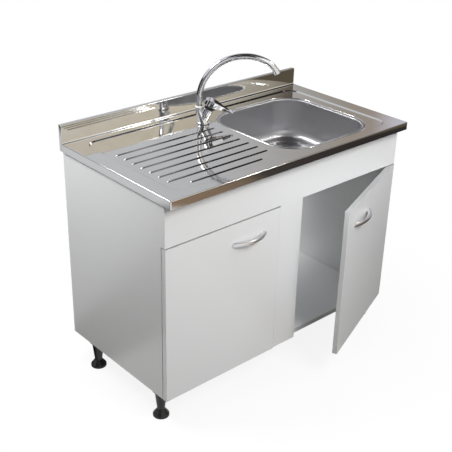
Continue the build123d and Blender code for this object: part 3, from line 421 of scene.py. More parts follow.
def finishes() -> dict[Slot, Finish]:
    """The unit's finishes by material slot."""
    low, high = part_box("sink_bowl")
    middle = (low + high) / 2
    return {
        Slot.LAMINATE: Laminate(
            "gloss_white_laminate", (0.80, 0.803, 0.807), 0.24, edge=0.0004),
        Slot.POLISHED_STEEL: Polished(
            "polished_sheet_steel", (0.78, 0.775, 0.765), 0.045, 1.0, wave=0.0006),
        Slot.SATIN_STEEL: Satin(
            "satin_drawn_steel", (0.72, 0.72, 0.735), 0.34, 1.0, middle=(middle.x, middle.y, 0.0)),
        Slot.CHROME: Polished(
            "bright_chrome", (0.87, 0.875, 0.89), 0.02, 1.0, edge=0.0006, scratch=0.02),
        Slot.BLACK_PLASTIC: Moulded(
            "gloss_black_plastic", (0.010, 0.010, 0.010), 0.28, edge=0.0008),
        Slot.WHITE_PLASTIC: Moulded(
            "white_moulded_plastic", (0.78, 0.78, 0.76), 0.42, edge=0.0006),
        Slot.RUBBER: Moulded("black_rubber", (0.035, 0.035, 0.035), 0.7),
        Slot.CLEAR_RUBBER: Moulded("clear_soft_rubber", (0.62, 0.63, 0.64), 0.35),
        Slot.BEECH: Wood("turned_beech", (0.62, 0.43, 0.25), 0.55),
        Slot.BRASS: Plated("turned_brass", (0.72, 0.52, 0.22), 0.3, 1.0, edge=0.0004),
        Slot.ZINC: Plated("zinc_plated_steel", (0.60, 0.61, 0.63), 0.33, 1.0, edge=0.0004),
    }


def dress_nodes(record: dict[str, Any], nodes: dict[str, Piece],
                palette: dict[Slot, Finish]) -> None:
    """Gives every solid of the frame the finish that the record names for it.

    Args:
        record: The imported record.
        nodes: The frame's objects by name.
        palette: The finishes by slot.
    """
    for subpart in record["subparts"]:
        mesh = nodes[subpart["node"]].data
        mesh.materials.clear()
        mesh.materials.append(palette[Slot(subpart["material_slot"])].material())
        log.info("%s: %s", subpart["node"], subpart["material_slot"])


# ---- making meshes
class Skin:
    """A mesh under construction, made of closed rings of points in millimetres."""

    def __init__(self) -> None:
        """Starts with nothing."""
        self.mesh = bmesh.new()

    def ring(self, points: Iterable[Point]) -> Ring:
        """Adds one ring of points."""
        return [self.mesh.verts.new(point) for point in points]

    def wall(self, rings: Sequence[Ring]) -> None:
        """Joins rings of equal length, one after the other, with faces."""
        for near, far in zip(rings, rings[1:]):
            count = len(near)
            for index in range(count):
                after = (index + 1) % count
                self.mesh.faces.new((near[index], near[after], far[after], far[index]))

    def cap(self, ring: Ring) -> None:
        """Closes one ring with a face."""
        self.mesh.faces.new(ring)

    def body(self, rings: Sequence[Ring]) -> None:
        """Joins rings and closes the first and the last."""
        self.wall(rings)
        self.cap(rings[0])
        self.cap(rings[-1])

    def filled(self, *rings: Ring) -> None:
        """Fills the flat field inside the first ring and outside the others."""
        verts = [vert for ring in rings for vert in ring]
        edges = []
        outlines = []
        start = 0
        for ring in rings:
            count = len(ring)
            edges += [(start + index, start + (index + 1) % count) for index in range(count)]
            outlines.append([vert.co.xy for vert in ring])
            start += count
        places, _, faces, origins, *_ = geometry.delaunay_2d_cdt(
            [vert.co.xy for vert in verts], edges, [], 1, FLAT_TOLERANCE)
        for face in faces:
            middle = sum((places[index] for index in face), Vector((0.0, 0.0))) / 3
            if any(inside(middle, outline) for outline in outlines[1:]):
                continue
            self.mesh.faces.new([verts[origins[index][0]] for index in face])

    def piece(self, name: str, upward: bool = False) -> Piece:
        """Turns the skin into an object in metres.

        Args:
            name: The object's name.
            upward: For an open sheet, whether its faces have to look up.

        Returns:
            The object, smooth with sharp creases.
        """
        bmesh.ops.scale(self.mesh, vec=(MM, MM, MM), verts=self.mesh.verts)
        bmesh.ops.remove_doubles(self.mesh, verts=self.mesh.verts, dist=FINE_WELD)
        bmesh.ops.recalc_face_normals(self.mesh, faces=self.mesh.faces)
        if upward and sum(face.normal.z * face.calc_area() for face in self.mesh.faces) < 0:
            bmesh.ops.reverse_faces(self.mesh, faces=self.mesh.faces)
        mesh = bpy.data.meshes.new(name)
        self.mesh.to_mesh(mesh)
        self.mesh.free()
        return placed(name, mesh)


def inside(point: Vector, outline: Sequence[Vector]) -> bool:
    """Whether a flat point lies inside an outline."""
    within = False
    for near, far in zip(outline, [*outline[1:], outline[0]]):
        if (near.y > point.y) != (far.y > point.y):
            crossing = near.x + (point.y - near.y) / (far.y - near.y) * (far.x - near.x)
            within ^= point.x < crossing
    return within


def linked(name: str, data: bpy.types.ID) -> Piece:
    """Puts an object with its data in the scene."""
    made = bpy.data.objects.new(name, data)
    bpy.context.scene.collection.objects.link(made)
    return made


def placed(name: str, mesh: bpy.types.Mesh, crease: float = CREASE) -> Piece:
    """Puts a mesh in the scene, smooth but for creases sharper than an angle in degrees."""
    mesh.name = name
    mesh.shade_smooth()
    mesh.set_sharp_from_angle(angle=math.radians(crease))
    return linked(name, mesh)


def welded(source: Piece) -> bmesh.types.BMesh:
    """A solid's mesh with its doubled corners joined."""
    mesh = bmesh.new()
    mesh.from_mesh(source.data)
    bmesh.ops.remove_doubles(mesh, verts=mesh.verts, dist=WELD)
    return mesh


def settled(piece: Piece, crease: float = CREASE) -> Piece:
    """Swaps an object for a plain one that has its modifiers' result in its mesh."""
    bpy.context.view_layer.update()
    graph = bpy.context.evaluated_depsgraph_get()
    mesh = bpy.data.meshes.new_from_object(piece.evaluated_get(graph), depsgraph=graph)
    name = piece.name
    bpy.data.objects.remove(piece)
    return placed(name, mesh, crease)


def dressed(piece: Piece, finish: Finish, slot: Slot, body: str, *stands_for: str) -> None:
    """Gives a piece its finish and its body, and logs the record's slot that it takes.

    Args:
        piece: The finished piece.
        finish: Its surface.
        slot: The record's slot that it takes.
        body: The body that carries it.
        *stands_for: The nodes that it replaces.
    """
    piece.data.materials.clear()
    piece.data.materials.append(finish.material())
    for face in piece.data.polygons:
        face.material_index = 0
    if stands_for:
        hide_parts(*stands_for)
    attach(piece, body)
    log.info("%s: %s on %s, %d faces", piece.name, slot.value, body, len(piece.data.polygons))


def rounded(middle_x: float, middle_y: float, width: float, length: float, corner: float,
            height: float, steps: int = 12) -> list[Point]:
    """A rounded rectangle's outline at one height, counterclockwise from its right side.

    Args:
        middle_x: Its middle along X.
        middle_y: Its middle along Y.
        width: Its size along X.
        length: Its size along Y.
        corner: The radius of its corners.
        height: Its height.
        steps: The arcs' steps.

    Returns:
        The points.
    """
    points = []
    for quarter, (right, rear) in enumerate(((1, 1), (-1, 1), (-1, -1), (1, -1))):
        x = middle_x + right * (width / 2 - corner)
        y = middle_y + rear * (length / 2 - corner)
        for step in range(steps + 1):
            angle = math.radians(90 * (quarter + step / steps))
            points.append((x + corner * math.cos(angle), y + corner * math.sin(angle), height))
    return points


def eased(share: float) -> float:
    """A smooth step from 0 to 1."""
    return share * share * (3 - 2 * share)


def shares(steps: int) -> list[float]:
    """Even shares from 0 to 1."""
    return [step / steps for step in range(steps + 1)]


def quarter(steps: int) -> list[tuple[float, float]]:
    """A quarter arc of radius 1, as its inset from the start and its drop from the end."""
    turns = [math.pi / 2 * step / steps for step in range(steps + 1)]
    return [(1 - math.cos(turn), 1 - math.sin(turn)) for turn in turns]


# ---- repeats
class Repeat(Graph):
    """A Geometry Nodes tree that sets a source piece on places and makes the copies real."""

    def __init__(self, name: str, **sizes: str) -> None:
        """Starts the tree with its group sockets.

        Args:
            name: The tree's name.
            **sizes: The kinds of its own inputs, besides the source, the finish and the count.
        """
        super().__init__(bpy.data.node_groups.new(name, "GeometryNodeTree"))
        sockets = self.tree.interface
        sockets.new_socket("Geometry", in_out="OUTPUT", socket_type="NodeSocketGeometry")
        kinds = {"Source": "Object", "Finish": "Material", "Count": "Int", **sizes}
        self.names = {
            key: sockets.new_socket(
                key, in_out="INPUT", socket_type=f"NodeSocket{kind}").identifier
            for key, kind in kinds.items()}
        self.inputs = self.tree.nodes.new("NodeGroupInput")

    def given(self, name: str) -> Value:
        """One of the tree's inputs, inside it."""
        return Value(self, self.inputs.outputs[name])

    def copies(self, points: Value, **more: Any) -> Value:
        """The source piece on every point."""
        source = self.node(
            "GeometryNodeObjectInfo", {"Object": self.given("Source")}, out="Geometry")
        return self.node(
            "GeometryNodeInstanceOnPoints", {"Points": points, "Instance": source, **more})

    def clad(self, copies: Value) -> None:
        """Ends the tree with real, dressed copies."""
        real = self.node("GeometryNodeRealizeInstances", {"Geometry": copies})
        self.finish(self.node(
            "GeometryNodeSetMaterial", {"Geometry": real, "Material": self.given("Finish")}),
            "NodeGroupOutput")

    def made(self, name: str, source: Piece, finish: Finish, **sizes: Any) -> Piece:
        """Runs the tree once and removes its source.

        Args:
            name: The new piece's name.
            source: The piece to repeat.
            finish: The copies' surface.
            **sizes: The tree's other inputs, in small letters.

        Returns:
            One plain piece.
        """
        holder = linked(name, bpy.data.meshes.new(name))
        modifier = holder.modifiers.new(name, "NODES")
        modifier.node_group = self.tree
        modifier[self.names["Source"]] = source
        modifier[self.names["Finish"]] = finish.material()
        for key, value in sizes.items():
            modifier[self.names[key.capitalize()]] = value
        piece = settled(holder)
        bpy.data.objects.remove(source)
        return piece


def row_tree() -> Repeat:
    """Copies in a straight row."""
    repeat = Repeat("row_of_copies", Start="Vector", Pitch="Vector")
    repeat.clad(repeat.copies(repeat.node(
        "GeometryNodeMeshLine",
        {"Count": repeat.given("Count"), "Start Location": repeat.given("Start"),
         "Offset": repeat.given("Pitch")}, mode="OFFSET")))
    return repeat


def ring_tree() -> Repeat:
    """Copies round a circle, each turned to face outwards."""
    repeat = Repeat("ring_of_copies", Radius="Float", Middle="Vector")
    circle = repeat.node(
        "GeometryNodeMeshCircle",
        {"Vertices": repeat.given("Count"), "Radius": repeat.given("Radius")})
    index = repeat.node("GeometryNodeInputIndex")
    step = repeat.node(
        "ShaderNodeMath", {0: 2 * math.pi, 1: repeat.given("Count")}, operation="DIVIDE")
    turn = repeat.node("ShaderNodeCombineXYZ", {"Z": index * step})
    real = repeat.node(
        "GeometryNodeRealizeInstances", {"Geometry": repeat.copies(circle, Rotation=turn)})
    repeat.clad(repeat.node(
        "GeometryNodeTransform", {"Geometry": real, "Translation": repeat.given("Middle")}))
    return repeat


# ---- steel top
@dataclass
class SteelTop:
    """The pressed steel top: skirt, sunk wet area, opening beads, upstand and drainer ribs."""

    palette: dict[Slot, Finish]
    row: Repeat
    level: float = 850.0
    sheet: float = 0.8
    fold: float = 2.5
    flat_edge: float = 1.2
    upstand_depth: float = 17.0
    cove: float = 6.0
    sink_depth: float = 4.0
    side_margin: float = 58.0
    front_margin: float = 42.0
    rear_margin: float = 38.0
    corner: float = 50.0
    slope_start: float = -0.5
    slope_end: float = 5.8
    bowl_corner: float = 115.0
    bead_height: float = 1.3
    bead_inner: float = 0.4
    bead_outer: float = 2.9
    tap_place: tuple[float, float] = (-38.0, 229.626)
    tap_hole: float = 17.5
    rib_first: float = 80.0
    rib_pitch: float = 45.0
    rib_rows: int = 8
    rib_width: float = 12.0
    rib_height: float = 3.0
    rib_span: tuple[float, float] = (-464.0, -40.0)
    front_rib_span: tuple[float, float] = (-410.0, -105.0)
    bed_corner: float = 4.0
    least_corner: float = 0.4
    lap: float = 0.9
    tray_strip: float = 0.4
    bead_strip: float = 0.5
    bead_lip: float = 0.1
    upstand_inset: float = 0.05
    upstand_corner: float = 2.6
    sharp_corner: float = 0.1
    root: float = 0.4
    rib_crown: float = 0.3
    slope_steps: int = 10
    fold_steps: int = 5
    cove_steps: int = 8
    arc_steps: int = 8
    short_arc_steps: int = 4

    def __post_init__(self) -> None:
        """Takes the top's reach from the solid's box."""
        low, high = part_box("sink_deck")
        self.left, self.front, self.skirt_end = (value / MM for value in low)
        self.right, self.rear, self.top = (value / MM for value in high)
        self.upstand_front = self.rear - self.upstand_depth
        low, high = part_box("sink_bowl")
        self.bowl = ((low.x + high.x) / 2 / MM, (low.y + high.y) / 2 / MM,
                     (high.x - low.x) / MM, (high.y - low.y) / MM)

    def border(self, inset: float, height: float) -> list[Point]:
        """The sheet's outer outline, moved in."""
        rear = self.upstand_front + self.lap
        return rounded(
            (self.left + self.right) / 2, (self.front + rear) / 2,
            self.right - self.left - 2 * inset, rear - self.front - 2 * inset,
            max(self.bed_corner - inset, self.least_corner), height)

    def tray(self, inset: float, height: float) -> list[Point]:
        """The wet area's outline, moved in."""
        front = self.front + self.front_margin
        rear = self.upstand_front - self.rear_margin
        return rounded(
            0.0, (front + rear) / 2, self.right - self.left - 2 * (self.side_margin + inset),
            rear - front - 2 * inset, self.corner - inset, height)

    def opening(self, outset: float, height: float) -> list[Point]:
        """The bowl's outline, moved out."""
        x, y, width, length = self.bowl
        return rounded(
            x, y, width + 2 * outset, length + 2 * outset, self.bowl_corner + outset, height)

    def sheeted(self, skin: Skin, name: str) -> Piece:
        """Turns an open skin into a piece with the sheet's thickness below it."""
        piece = skin.piece(name, upward=True)
        wall = piece.modifiers.new("sheet", "SOLIDIFY")
        wall.thickness = self.sheet * MM
        wall.offset = -1.0
        return settled(piece)

    def bed(self) -> Piece:
        """The sheet with its rounded front and side folds, the sunk wet area and its openings."""
        skin = Skin()
        rings = [skin.ring(self.border(0.0, self.skirt_end))]
        for inset, drop in quarter(self.fold_steps):
            rings.append(skin.ring(self.border(self.fold * inset, self.level - self.fold * drop)))
        rings.append(skin.ring(self.border(self.fold + self.flat_edge, self.level)))
        rings.append(skin.ring(self.tray(self.slope_start - self.flat_edge, self.level)))
        for share in shares(self.slope_steps):
            inset = self.slope_start + (self.slope_end - self.slope_start) * share
            rings.append(skin.ring(self.tray(inset, self.level - self.sink_depth * eased(share))))
        floor = self.level - self.sink_depth
        rings.append(skin.ring(self.tray(self.slope_end + self.tray_strip, floor)))
        skin.wall(rings)
        bead = [skin.ring(self.opening(self.bead_outer + self.bead_strip, floor))]
        for share in shares(self.slope_steps):
            outset = self.bead_outer + (self.bead_inner - self.bead_outer) * share
            height = floor + self.bead_height * math.sin(math.pi * share) ** 2
            bead.append(skin.ring(self.opening(outset, height)))
        bead.append(skin.ring(self.opening(self.bead_lip, floor)))
        skin.wall(bead)
        x, y = self.tap_place
        width = 2 * self.tap_hole
        hole = skin.ring(rounded(x, y, width, width, self.tap_hole, floor, self.arc_steps))
        skin.filled(rings[-1], bead[0], hole)
        return self.sheeted(skin, "steel_top_sheet")

    def upstand(self) -> Piece:
        """The folded upstand, open underneath."""
        skin = Skin()
        middle_y = (self.upstand_front + self.rear) / 2
        rings = []
        for drawn, height in [(0.0, self.skirt_end)] + [
                (self.fold * inset, self.top - self.fold * drop)
                for inset, drop in quarter(self.fold_steps)]:
            inset = self.upstand_inset + drawn
            rings.append(skin.ring(rounded(
                0.0, middle_y, self.right - self.left - 2 * inset,
                self.upstand_depth - 2 * drawn,
                max(self.upstand_corner - inset, self.sharp_corner), height,
                self.short_arc_steps)))
        skin.wall(rings)
        edge = 2 * (self.fold + self.sheet)
        inner = skin.ring(rounded(
            0.0, middle_y, self.right - self.left - edge, self.upstand_depth - edge,
            self.sharp_corner, self.top, self.short_arc_steps))
        skin.wall([rings[-1], inner])
        skin.cap(inner)
        return self.sheeted(skin, "steel_top_upstand")

    def turn_up(self) -> Piece:
        """The cove between the bed and the upstand."""
        skin = Skin()
        ends = []
        for x in (self.left + self.fold, self.right - self.fold):
            section = [(x, self.upstand_front + self.root, self.level - self.root)]
            section += [(x, self.upstand_front - self.cove * drop + HAIR,
                         self.level + self.cove * inset + HAIR)
                        for inset, drop in quarter(self.cove_steps)]
            ends.append(skin.ring(section))
        skin.body(ends)
        return skin.piece("steel_top_cove")

    def rib(self, name: str, length: float) -> Piece:
        """One long round-ended rib with a swelling section, round the origin."""
        skin = Skin()
        rings = []
        for share in shares(self.slope_steps):
            inset = (self.rib_width / 2 - self.rib_crown) * share
            width = self.rib_width - 2 * inset
            height = self.rib_height * eased(share)
            rings.append(skin.ring(rounded(
                0.0, 0.0, length - 2 * inset, width, width / 2 - HAIR, height, self.arc_steps)))
        foot = skin.ring(rounded(
            0.0, 0.0, length, self.rib_width, self.rib_width / 2 - HAIR, -self.root,
            self.arc_steps))
        skin.body([foot, *rings])
        return skin.piece(name)

    def ribs(self) -> list[Piece]:
        """The drainer's ribs: a short one in front and a row of long ones."""
        made = []
        floor = self.level - self.sink_depth
        for name, rows, first, (left, right) in (
                ("drainer_front_rib", 1, 0, self.front_rib_span),
                ("drainer_ribs", self.rib_rows - 1, 1, self.rib_span)):
            source = self.rib(f"{name}_source", right - left)
            y = self.front + self.rib_first + first * self.rib_pitch
            start = tuple(value * MM for value in ((left + right) / 2, y, floor))
            made.append(self.row.made(
                name, source, self.palette[Slot.POLISHED_STEEL], count=rows, start=start,
                pitch=(0.0, self.rib_pitch * MM, 0.0)))
        return made

    def build(self) -> None:
        """Makes and dresses the whole top."""
        steel = self.palette[Slot.POLISHED_STEEL]
        for piece in (self.bed(), self.upstand(), self.turn_up(), *self.ribs()):
            dressed(piece, steel, Slot.POLISHED_STEEL, "cabinet", "sink_deck")


# ---- painted gap shade on the doors' edges
@dataclass
class GapShadeStrips:
    """Thin grey strips on the doors' top and bottom edges: painted shade that darkens the gaps at
    these edges.
    """

    nodes: dict[str, Piece]
    thickness: float = 0.05
    shortest: float = 250.0
    levelness: float = 0.9
    flatness: float = 1.0

    def band(self, node: str, name: str) -> Piece:
        """Bands on the long narrow faces at a panel's top and bottom.

        Args:
            node: The panel.
            name: The new piece's name.

        Returns:
            The bands as one piece.
        """
        panel = welded(self.nodes[node])
        bmesh.ops.dissolve_limit(
            panel, angle_limit=math.radians(self.flatness), verts=panel.verts, edges=panel.edges)
        skin = Skin()
        for face in panel.faces:
            longest = max(edge.calc_length() for edge in face.edges) / MM
            if abs(face.normal.z) < self.levelness or longest < self.shortest:
                continue
            near = [vert.co / MM for vert in face.verts]
            far = [point + face.normal * self.thickness for point in near]
            skin.body([skin.ring(near), skin.ring(far)])
        panel.free()
        return skin.piece(name)

    def build(self) -> None:
        """Makes and dresses both doors' strips of painted gap shade."""
        # This grey stands for the shade in the gaps at the doors' edges. It is painted shade, not
        # the colour of the edging.
        finish = Laminate("satin_edge_band", (0.42, 0.423, 0.428), 0.35, edge=0.0002)
        for side in ("left", "right"):
            bands = self.band(f"{side}_door_panel", f"{side}_door_bands")
            dressed(bands, finish, Slot.LAMINATE, f"{side}_door")


# ---- castings
@dataclass
class Castings:
    """Pieces cast in one with soft creases, grown from the frame's solids."""

    palette: dict[Slot, Finish]
    nodes: dict[str, Piece]
    wear: float = 0.5

    def cast(self, node: str, name: str, grain: float, passes: int, plump: float = 0.0) -> Piece:
        """A node's solid with its edges worn round.

        Args:
            node: The solid to start from.
            name: The new piece's name.
            grain: The size of its faces in millimetres.
            passes: How often it is smoothed.
            plump: How far its skin swells, in millimetres.

        Returns:
            The casting.
        """
        skin = welded(self.nodes[node])
        mesh = bpy.data.meshes.new(name)
        skin.to_mesh(mesh)
        skin.free()
        piece = placed(name, mesh, UNCREASED)
        remesh = piece.modifiers.new("faces", "REMESH")
        remesh.mode = "VOXEL"
        remesh.voxel_size = grain * MM
        if plump:
            swell = piece.modifiers.new("swell", "DISPLACE")
            swell.strength = plump * MM
            swell.mid_level = 0.0
        worn = piece.modifiers.new("worn", "SMOOTH")
        worn.factor = self.wear
        worn.iterations = passes
        return settled(piece, UNCREASED)


@dataclass
class Pulls(Castings):
    """The two bow handles."""

    grain: float = 0.8
    passes: int = 6
    plump: float = 1.9

    def build(self) -> None:
        """Makes and dresses both."""
        finish = Polished("satin_chrome_pull", (0.80, 0.80, 0.82), 0.27, 1.0, scratch=0.05)
        for side in ("left", "right"):
            node = f"{side}_handle"
            pull = self.cast(node, f"{side}_bow_pull", self.grain, self.passes, self.plump)
            dressed(pull, finish, Slot.CHROME, f"{side}_door", node)


# ---- tap
@dataclass
class Tap(Castings):
    """The tap's castings, with every crease blended as a casting's is, and its black collar."""

    body_grain: float = 0.7
    body_passes: int = 8
    lever_grain: float = 0.5
    lever_passes: int = 12
    foot: Point = (-38.0, 229.626, 847.5)
    heading: float = -43.0
    lean: float = 26.0
    housing_start: float = 15.0
    housing_length: float = 42.0
    pivot: float = 50.0
    lever_reach: float = 1.13
    collar_profile: tuple[tuple[float, float], ...] = (
        (16.1, 0.05), (17.0, 0.05), (17.2, 0.5), (17.2, 3.0), (16.6, 5.0), (15.4, 6.2),
        (14.4, 6.5), (11.0, 6.5), (11.0, 3.3), (16.1, 3.3))
    collar_steps: int = 48

    def housing(self) -> Matrix:
        """The leaning cartridge housing's own axes and foot, in millimetres."""
        upright = Matrix.Translation(self.foot)
        upright @= Matrix.Rotation(math.radians(self.heading), 4, "Z")
        upright @= Matrix.Translation((0.0, 0.0, self.housing_start))
        return upright @ Matrix.Rotation(math.radians(self.lean), 4, "Y")

    def handle(self) -> Piece:
        """The lever, drawn out along its own direction to a longer blade."""
        piece = self.cast("tap_lever", "tap_handle", self.lever_grain, self.lever_passes)
        frame = self.housing()
        along = frame.to_3x3() @ Vector((1.0, 0.0, 0.0))
        pivot = (frame @ Vector((0.0, 0.0, self.pivot))) * MM
        for vert in piece.data.vertices:
            vert.co += along * ((vert.co - pivot).dot(along) * (self.lever_reach - 1))
        return piece

    def collar(self) -> Piece:
        """The black ring that hides the cartridge nut under the lever."""
        skin = Skin()
        frame = self.housing()
        steps = self.collar_steps
        rings = []
        for radius, height in self.collar_profile:
            turns = (2 * math.pi * step / steps for step in range(steps))
            rings.append(skin.ring(
                frame @ Vector((radius * math.cos(turn), radius * math.sin(turn),
                                self.housing_length + height))
                for turn in turns))
        skin.wall([*rings, rings[0]])
        return skin.piece("tap_collar")

    def build(self) -> None:
        """Makes and dresses the castings and the collar."""
        chrome = self.palette[Slot.CHROME]
        casting = self.cast("tap_body", "tap_casting", self.body_grain, self.body_passes)
        dressed(casting, chrome, Slot.CHROME, "cabinet", "tap_body")
        dressed(self.handle(), chrome, Slot.CHROME, "lever", "tap_lever")
        dressed(self.collar(), self.palette[Slot.BLACK_PLASTIC], Slot.BLACK_PLASTIC, "cabinet")


# ---- trap
@dataclass
class TrapGrips:
    """The grip bars moulded round the trap's cup, by which it is unscrewed."""

    palette: dict[Slot, Finish]
    ring: Repeat
    bar: float = 3.0
    taper: float = 1.0
    margin: float = 9.0
    count: int = 20
    arc_steps: int = 3

    def bar_piece(self, name: str, length: float) -> Piece:
        """One upright bar with tapered ends, round the origin."""
        skin = Skin()
        rings = []
        for inset, height in ((self.taper, -length / 2), (0.0, self.taper - length / 2),
                              (0.0, length / 2 - self.taper), (self.taper, length / 2)):
            width = self.bar - inset
            rings.append(skin.ring(rounded(
                0.0, 0.0, width, width, width / 2 - HAIR, height, self.arc_steps)))
        skin.body(rings)
        return skin.piece(name)

    def build(self) -> None:
        """Makes and dresses the bars."""
        low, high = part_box("trap_cup")
        plastic = self.palette[Slot.WHITE_PLASTIC]
        source = self.bar_piece("trap_grip_source", (high.z - low.z) / MM - 2 * self.margin)
        grips = self.ring.made(
            "trap_cup_grips", source, plastic, count=self.count, radius=(high.x - low.x) / 2,
            middle=tuple((low + high) / 2))
        dressed(grips, plastic, Slot.WHITE_PLASTIC, "cabinet")


# ---- studio
WHITE = (1.0, 1.0, 1.0)


def grey(level: float) -> Colour:
    """A grey of one level."""
    return (level, level, level)


@dataclass(frozen=True)
class Lamp:
    """A square soft lamp: its place, the point it faces, its side in metres and its watts."""

    name: str
    place: Point
    aim: Point
    size: float
    power: float
    mirrored: bool = False

    def hang(self) -> None:
        """Puts the lamp in the scene; bright metal shows it only where it is mirrored."""
        data = bpy.data.lights.new(self.name, "AREA")
        data.size = self.size
        data.energy = self.power
        lamp = linked(self.name, data)
        lamp.location = self.place
        lamp.visible_glossy = self.mirrored
        lamp.rotation_mode = "QUATERNION"
        facing = Vector(self.aim) - Vector(self.place)
        lamp.rotation_quaternion = facing.to_track_quat("-Z", "Y")


LAMPS = (
    Lamp("front_lamp", (0.1, -1.75, 2.1), (0.1, -0.2, 0.5), 0.9, 39.0),
    Lamp("left_lamp", (-1.2, 0.55, 1.9), (-0.55, 0.2, 0.75), 0.6, 24.0),
    Lamp("top_lamp", (-0.5, 0.7, 2.6), (0.22, 0.05, 0.8), 0.7, 16.0),
    Lamp("left_strip", (-0.6, 0.9, 1.8), (0.4, 0.0, 0.75), 0.4, 6.5, mirrored=True),
    Lamp("right_strip", (1.25, -1.05, 2.5), (0.15, 0.2, 0.75), 0.35, 7.0, mirrored=True),
    Lamp("rear_lamp", (0.4, 3.0, 2.2), (0.0, 0.3, 0.5), 1.6, 18.0),
    Lamp("right_lamp", (0.6, -2.6, 1.2), (0.4, -0.2, 0.4), 1.0, 9.0),
)


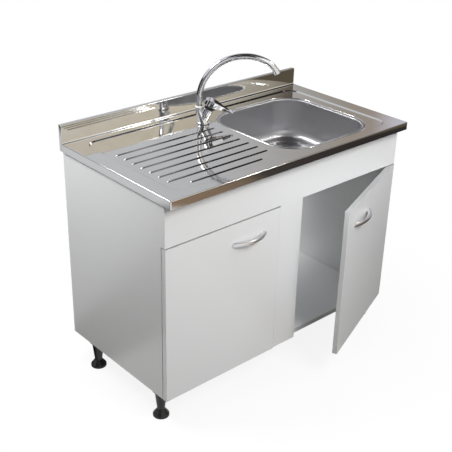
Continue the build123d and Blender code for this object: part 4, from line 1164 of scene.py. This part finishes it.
@dataclass
class Studio:
    """The floor, the room that the metal mirrors, the lamps and the camera."""

    floor_size: float = 30.0
    pale_radius: float = 1.3
    shadow_share: float = 0.12
    mirror_middle: tuple[float, float] = (-0.04, 0.23)
    lens: float = 69.44
    sensor: float = 36.0
    clip_start: float = 0.05
    camera_place: Point = (-1.9614, -2.0275, 1.918)
    heading: float = 42.19
    pitch: float = -26.58
    roll: float = 1.45

    def camera(self) -> None:
        """The camera at the photograph's place and angle."""
        data = bpy.data.cameras.new("camera")
        data.lens = self.lens
        data.sensor_width = self.sensor
        data.clip_start = self.clip_start
        camera = linked("camera", data)
        turn = Matrix.Rotation(math.radians(-self.heading), 4, "Z")
        turn @= Matrix.Rotation(math.radians(90 + self.pitch), 4, "X")
        turn @= Matrix.Rotation(math.radians(self.roll), 4, "Z")
        camera.matrix_world = Matrix.Translation(self.camera_place) @ turn
        bpy.context.scene.camera = camera

    def bearing(self, graph: Graph, x: Value, y: Value) -> Value:
        """The direction of a flat point as a share of a full turn."""
        angle = graph.node("ShaderNodeMath", {0: x, 1: y}, operation="ARCTAN2")
        return angle / (2 * math.pi) + 0.5

    def room(self) -> None:
        """White to the camera, soft grey to matt surfaces and a room to bright metal."""
        world = bpy.data.worlds.new("room")
        world.use_nodes = True
        bpy.context.scene.world = world
        graph = Graph(world.node_tree)
        ray = graph.node("ShaderNodeTexCoord", out="Generated")
        x, y, z = (graph.part(ray, axis) for axis in "XYZ")
        bearing = self.bearing(graph, x, y)
        walls = graph.node(
            "ShaderNodeValToRGB", {0: bearing}, stops=[
                (0.00, (0.84, 0.83, 0.80)), (0.085, grey(0.84)), (0.092, (0.06, 0.055, 0.05)),
                (0.148, (0.10, 0.09, 0.085)), (0.158, (0.90, 0.91, 0.93)),
                (0.180, (0.80, 0.81, 0.83)), (0.187, grey(0.015)), (0.243, grey(0.015)),
                (0.252, (0.80, 0.81, 0.88)), (0.330, (0.80, 0.81, 0.84)),
                (0.540, (0.60, 0.61, 0.63)), (0.600, (0.60, 0.61, 0.635)),
                (0.615, (0.54, 0.55, 0.57)), (0.632, (0.42, 0.40, 0.385)),
                (0.644, (0.34, 0.29, 0.24)), (0.650, (0.66, 0.65, 0.74)),
                (0.790, (0.62, 0.61, 0.68)), (0.800, (0.10, 0.085, 0.07)),
                (0.838, (0.16, 0.135, 0.11)), (0.852, (0.40, 0.37, 0.31)),
                (0.868, (0.56, 0.52, 0.44)), (0.89, (0.76, 0.69, 0.55)),
                (1.00, (0.84, 0.80, 0.74))])
        window = (bearing.within((0.025, 0.035), (0.088, 0.082))
                  * z.within((0.22, 0.26), (0.62, 0.58)))
        ceiling = z.faded(0.84, 0.88)
        beams = z.within((0.57, 0.61), (0.86, 0.80)) * (
            bearing.within((0.02, 0.05), (0.27, 0.25))
            + bearing.within((0.638, 0.642), (0.835, 0.83)))
        pane = bearing.within((0.838, 0.842), (0.90, 0.89)) * z.within((0.50, 0.54), (0.82, 0.78))
        skirting = z.faded(0.24, 0.19) * y.faded(0.0, 0.2)
        room = graph.layered(
            walls, (window, (1.5, 1.5, 1.55)), (ceiling, (0.03, 0.028, 0.028)),
            (beams, grey(0.02)), (pane, (1.3, 1.3, 1.33)), (skirting, grey(0.03)))
        camera = graph.node("ShaderNodeLightPath", out="Is Camera Ray")
        glossy = graph.node("ShaderNodeLightPath", out="Is Glossy Ray")
        seen = graph.mixed(glossy, (0.23, 0.24, 0.255), room)
        graph.finish(
            graph.node("ShaderNodeBackground",
                       {"Color": graph.mixed(camera, seen, WHITE), "Strength": 1.0}),
            "ShaderNodeOutputWorld")

    def mirrored_floor(self, graph: Graph) -> Value:
        """The floor's colour to bright metal: pale and dark sectors round the tap, and wood."""
        place = graph.place()
        x, y = (graph.part(place, axis) for axis in "XY")
        reach = graph.length(place)
        middle_x, middle_y = self.mirror_middle
        bearing = self.bearing(graph, x - middle_x, y - middle_y)
        sectors = graph.node(
            "ShaderNodeValToRGB", {0: bearing}, stops=[
                (0.000, grey(0.80)), (0.245, (0.78, 0.78, 0.79)), (0.262, grey(0.02)),
                (0.318, grey(0.02)), (0.335, (0.68, 0.69, 0.71)), (0.600, (0.62, 0.63, 0.65)),
                (0.740, (0.40, 0.40, 0.41)), (0.790, (0.03, 0.028, 0.026)),
                (0.860, (0.035, 0.03, 0.03)), (0.908, (0.06, 0.052, 0.05)),
                (0.915, (0.20, 0.15, 0.11)), (0.930, (0.28, 0.20, 0.14)),
                (0.952, (0.31, 0.215, 0.145)), (0.962, (0.80, 0.78, 0.75))])
        planks = graph.noise(graph.stretched(place, (2.0, 14.0, 1.0)), 1.0, 4.0)
        grain = planks.faded(0.3, 0.8) * bearing.faded(0.80, 0.82) * 0.3
        near = reach.faded(3.3, 3.6) * bearing.within((0.77, 0.78), (0.905, 0.895))
        beyond = reach.faded(4.0, 5.0) * bearing.within((0.160, 0.165), (0.243, 0.238))
        far = reach.faded(3.2, 4.2) * y.faded(0.0, 1.0)
        return graph.layered(
            sectors, (grain, (0.05, 0.04, 0.03)), (near, (0.11, 0.092, 0.065)),
            (beyond, grey(0.02)), (far, grey(0.03)))

    def floor(self) -> None:
        """A pale floor that keeps the unit's soft shadow, and is darker wood to bright metal."""
        half = self.floor_size / 2
        mesh = bpy.data.meshes.new("floor")
        mesh.from_pydata([(-half, -half, 0), (half, -half, 0), (half, half, 0), (-half, half, 0)],
                         [], [(0, 1, 2, 3)])
        floor = linked("floor", mesh)
        material = bpy.data.materials.new("floor")
        material.use_nodes = True
        graph = Graph(material.node_tree)
        reach = graph.length(graph.place())
        camera = graph.node("ShaderNodeLightPath", out="Is Camera Ray")
        glossy = graph.node("ShaderNodeLightPath", out="Is Glossy Ray")
        bounced = graph.node("ShaderNodeBsdfDiffuse", {"Color": (0.12, 0.108, 0.084, 1.0)})
        pale = graph.node("ShaderNodeBsdfDiffuse", {"Color": (*grey(0.86), 1.0)})
        white = graph.node("ShaderNodeEmission", {"Color": (*WHITE, 1.0), "Strength": 1.0})
        shadowed = reach.faded(self.pale_radius, self.pale_radius / 3) * self.shadow_share
        shown = graph.node("ShaderNodeMixShader", {0: shadowed, 1: white, 2: pale})
        room = graph.node(
            "ShaderNodeEmission", {"Color": self.mirrored_floor(graph), "Strength": 1.0})
        other = graph.node("ShaderNodeMixShader", {0: glossy, 1: bounced, 2: room})
        graph.finish(graph.node("ShaderNodeMixShader", {0: camera, 1: other, 2: shown}))
        mesh.materials.append(material)

    def build(self) -> None:
        """Makes the whole studio."""
        bpy.context.scene.view_settings.view_transform = "Standard"
        self.camera()
        self.room()
        self.floor()
        for lamp in LAMPS:
            lamp.hang()


def main() -> None:
    """Loads the frame, builds and dresses every piece, and sets the studio."""
    logging.basicConfig(level=logging.INFO, format="%(name)s: %(message)s")
    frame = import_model()
    Studio().build()
    palette = finishes()
    dress_nodes(frame["record"], frame["nodes"], palette)
    SteelTop(palette, row_tree()).build()
    Tap(palette, frame["nodes"]).build()
    Pulls(palette, frame["nodes"]).build()
    GapShadeStrips(frame["nodes"]).build()
    TrapGrips(palette, ring_tree()).build()


if __name__ == "__main__":
    main()
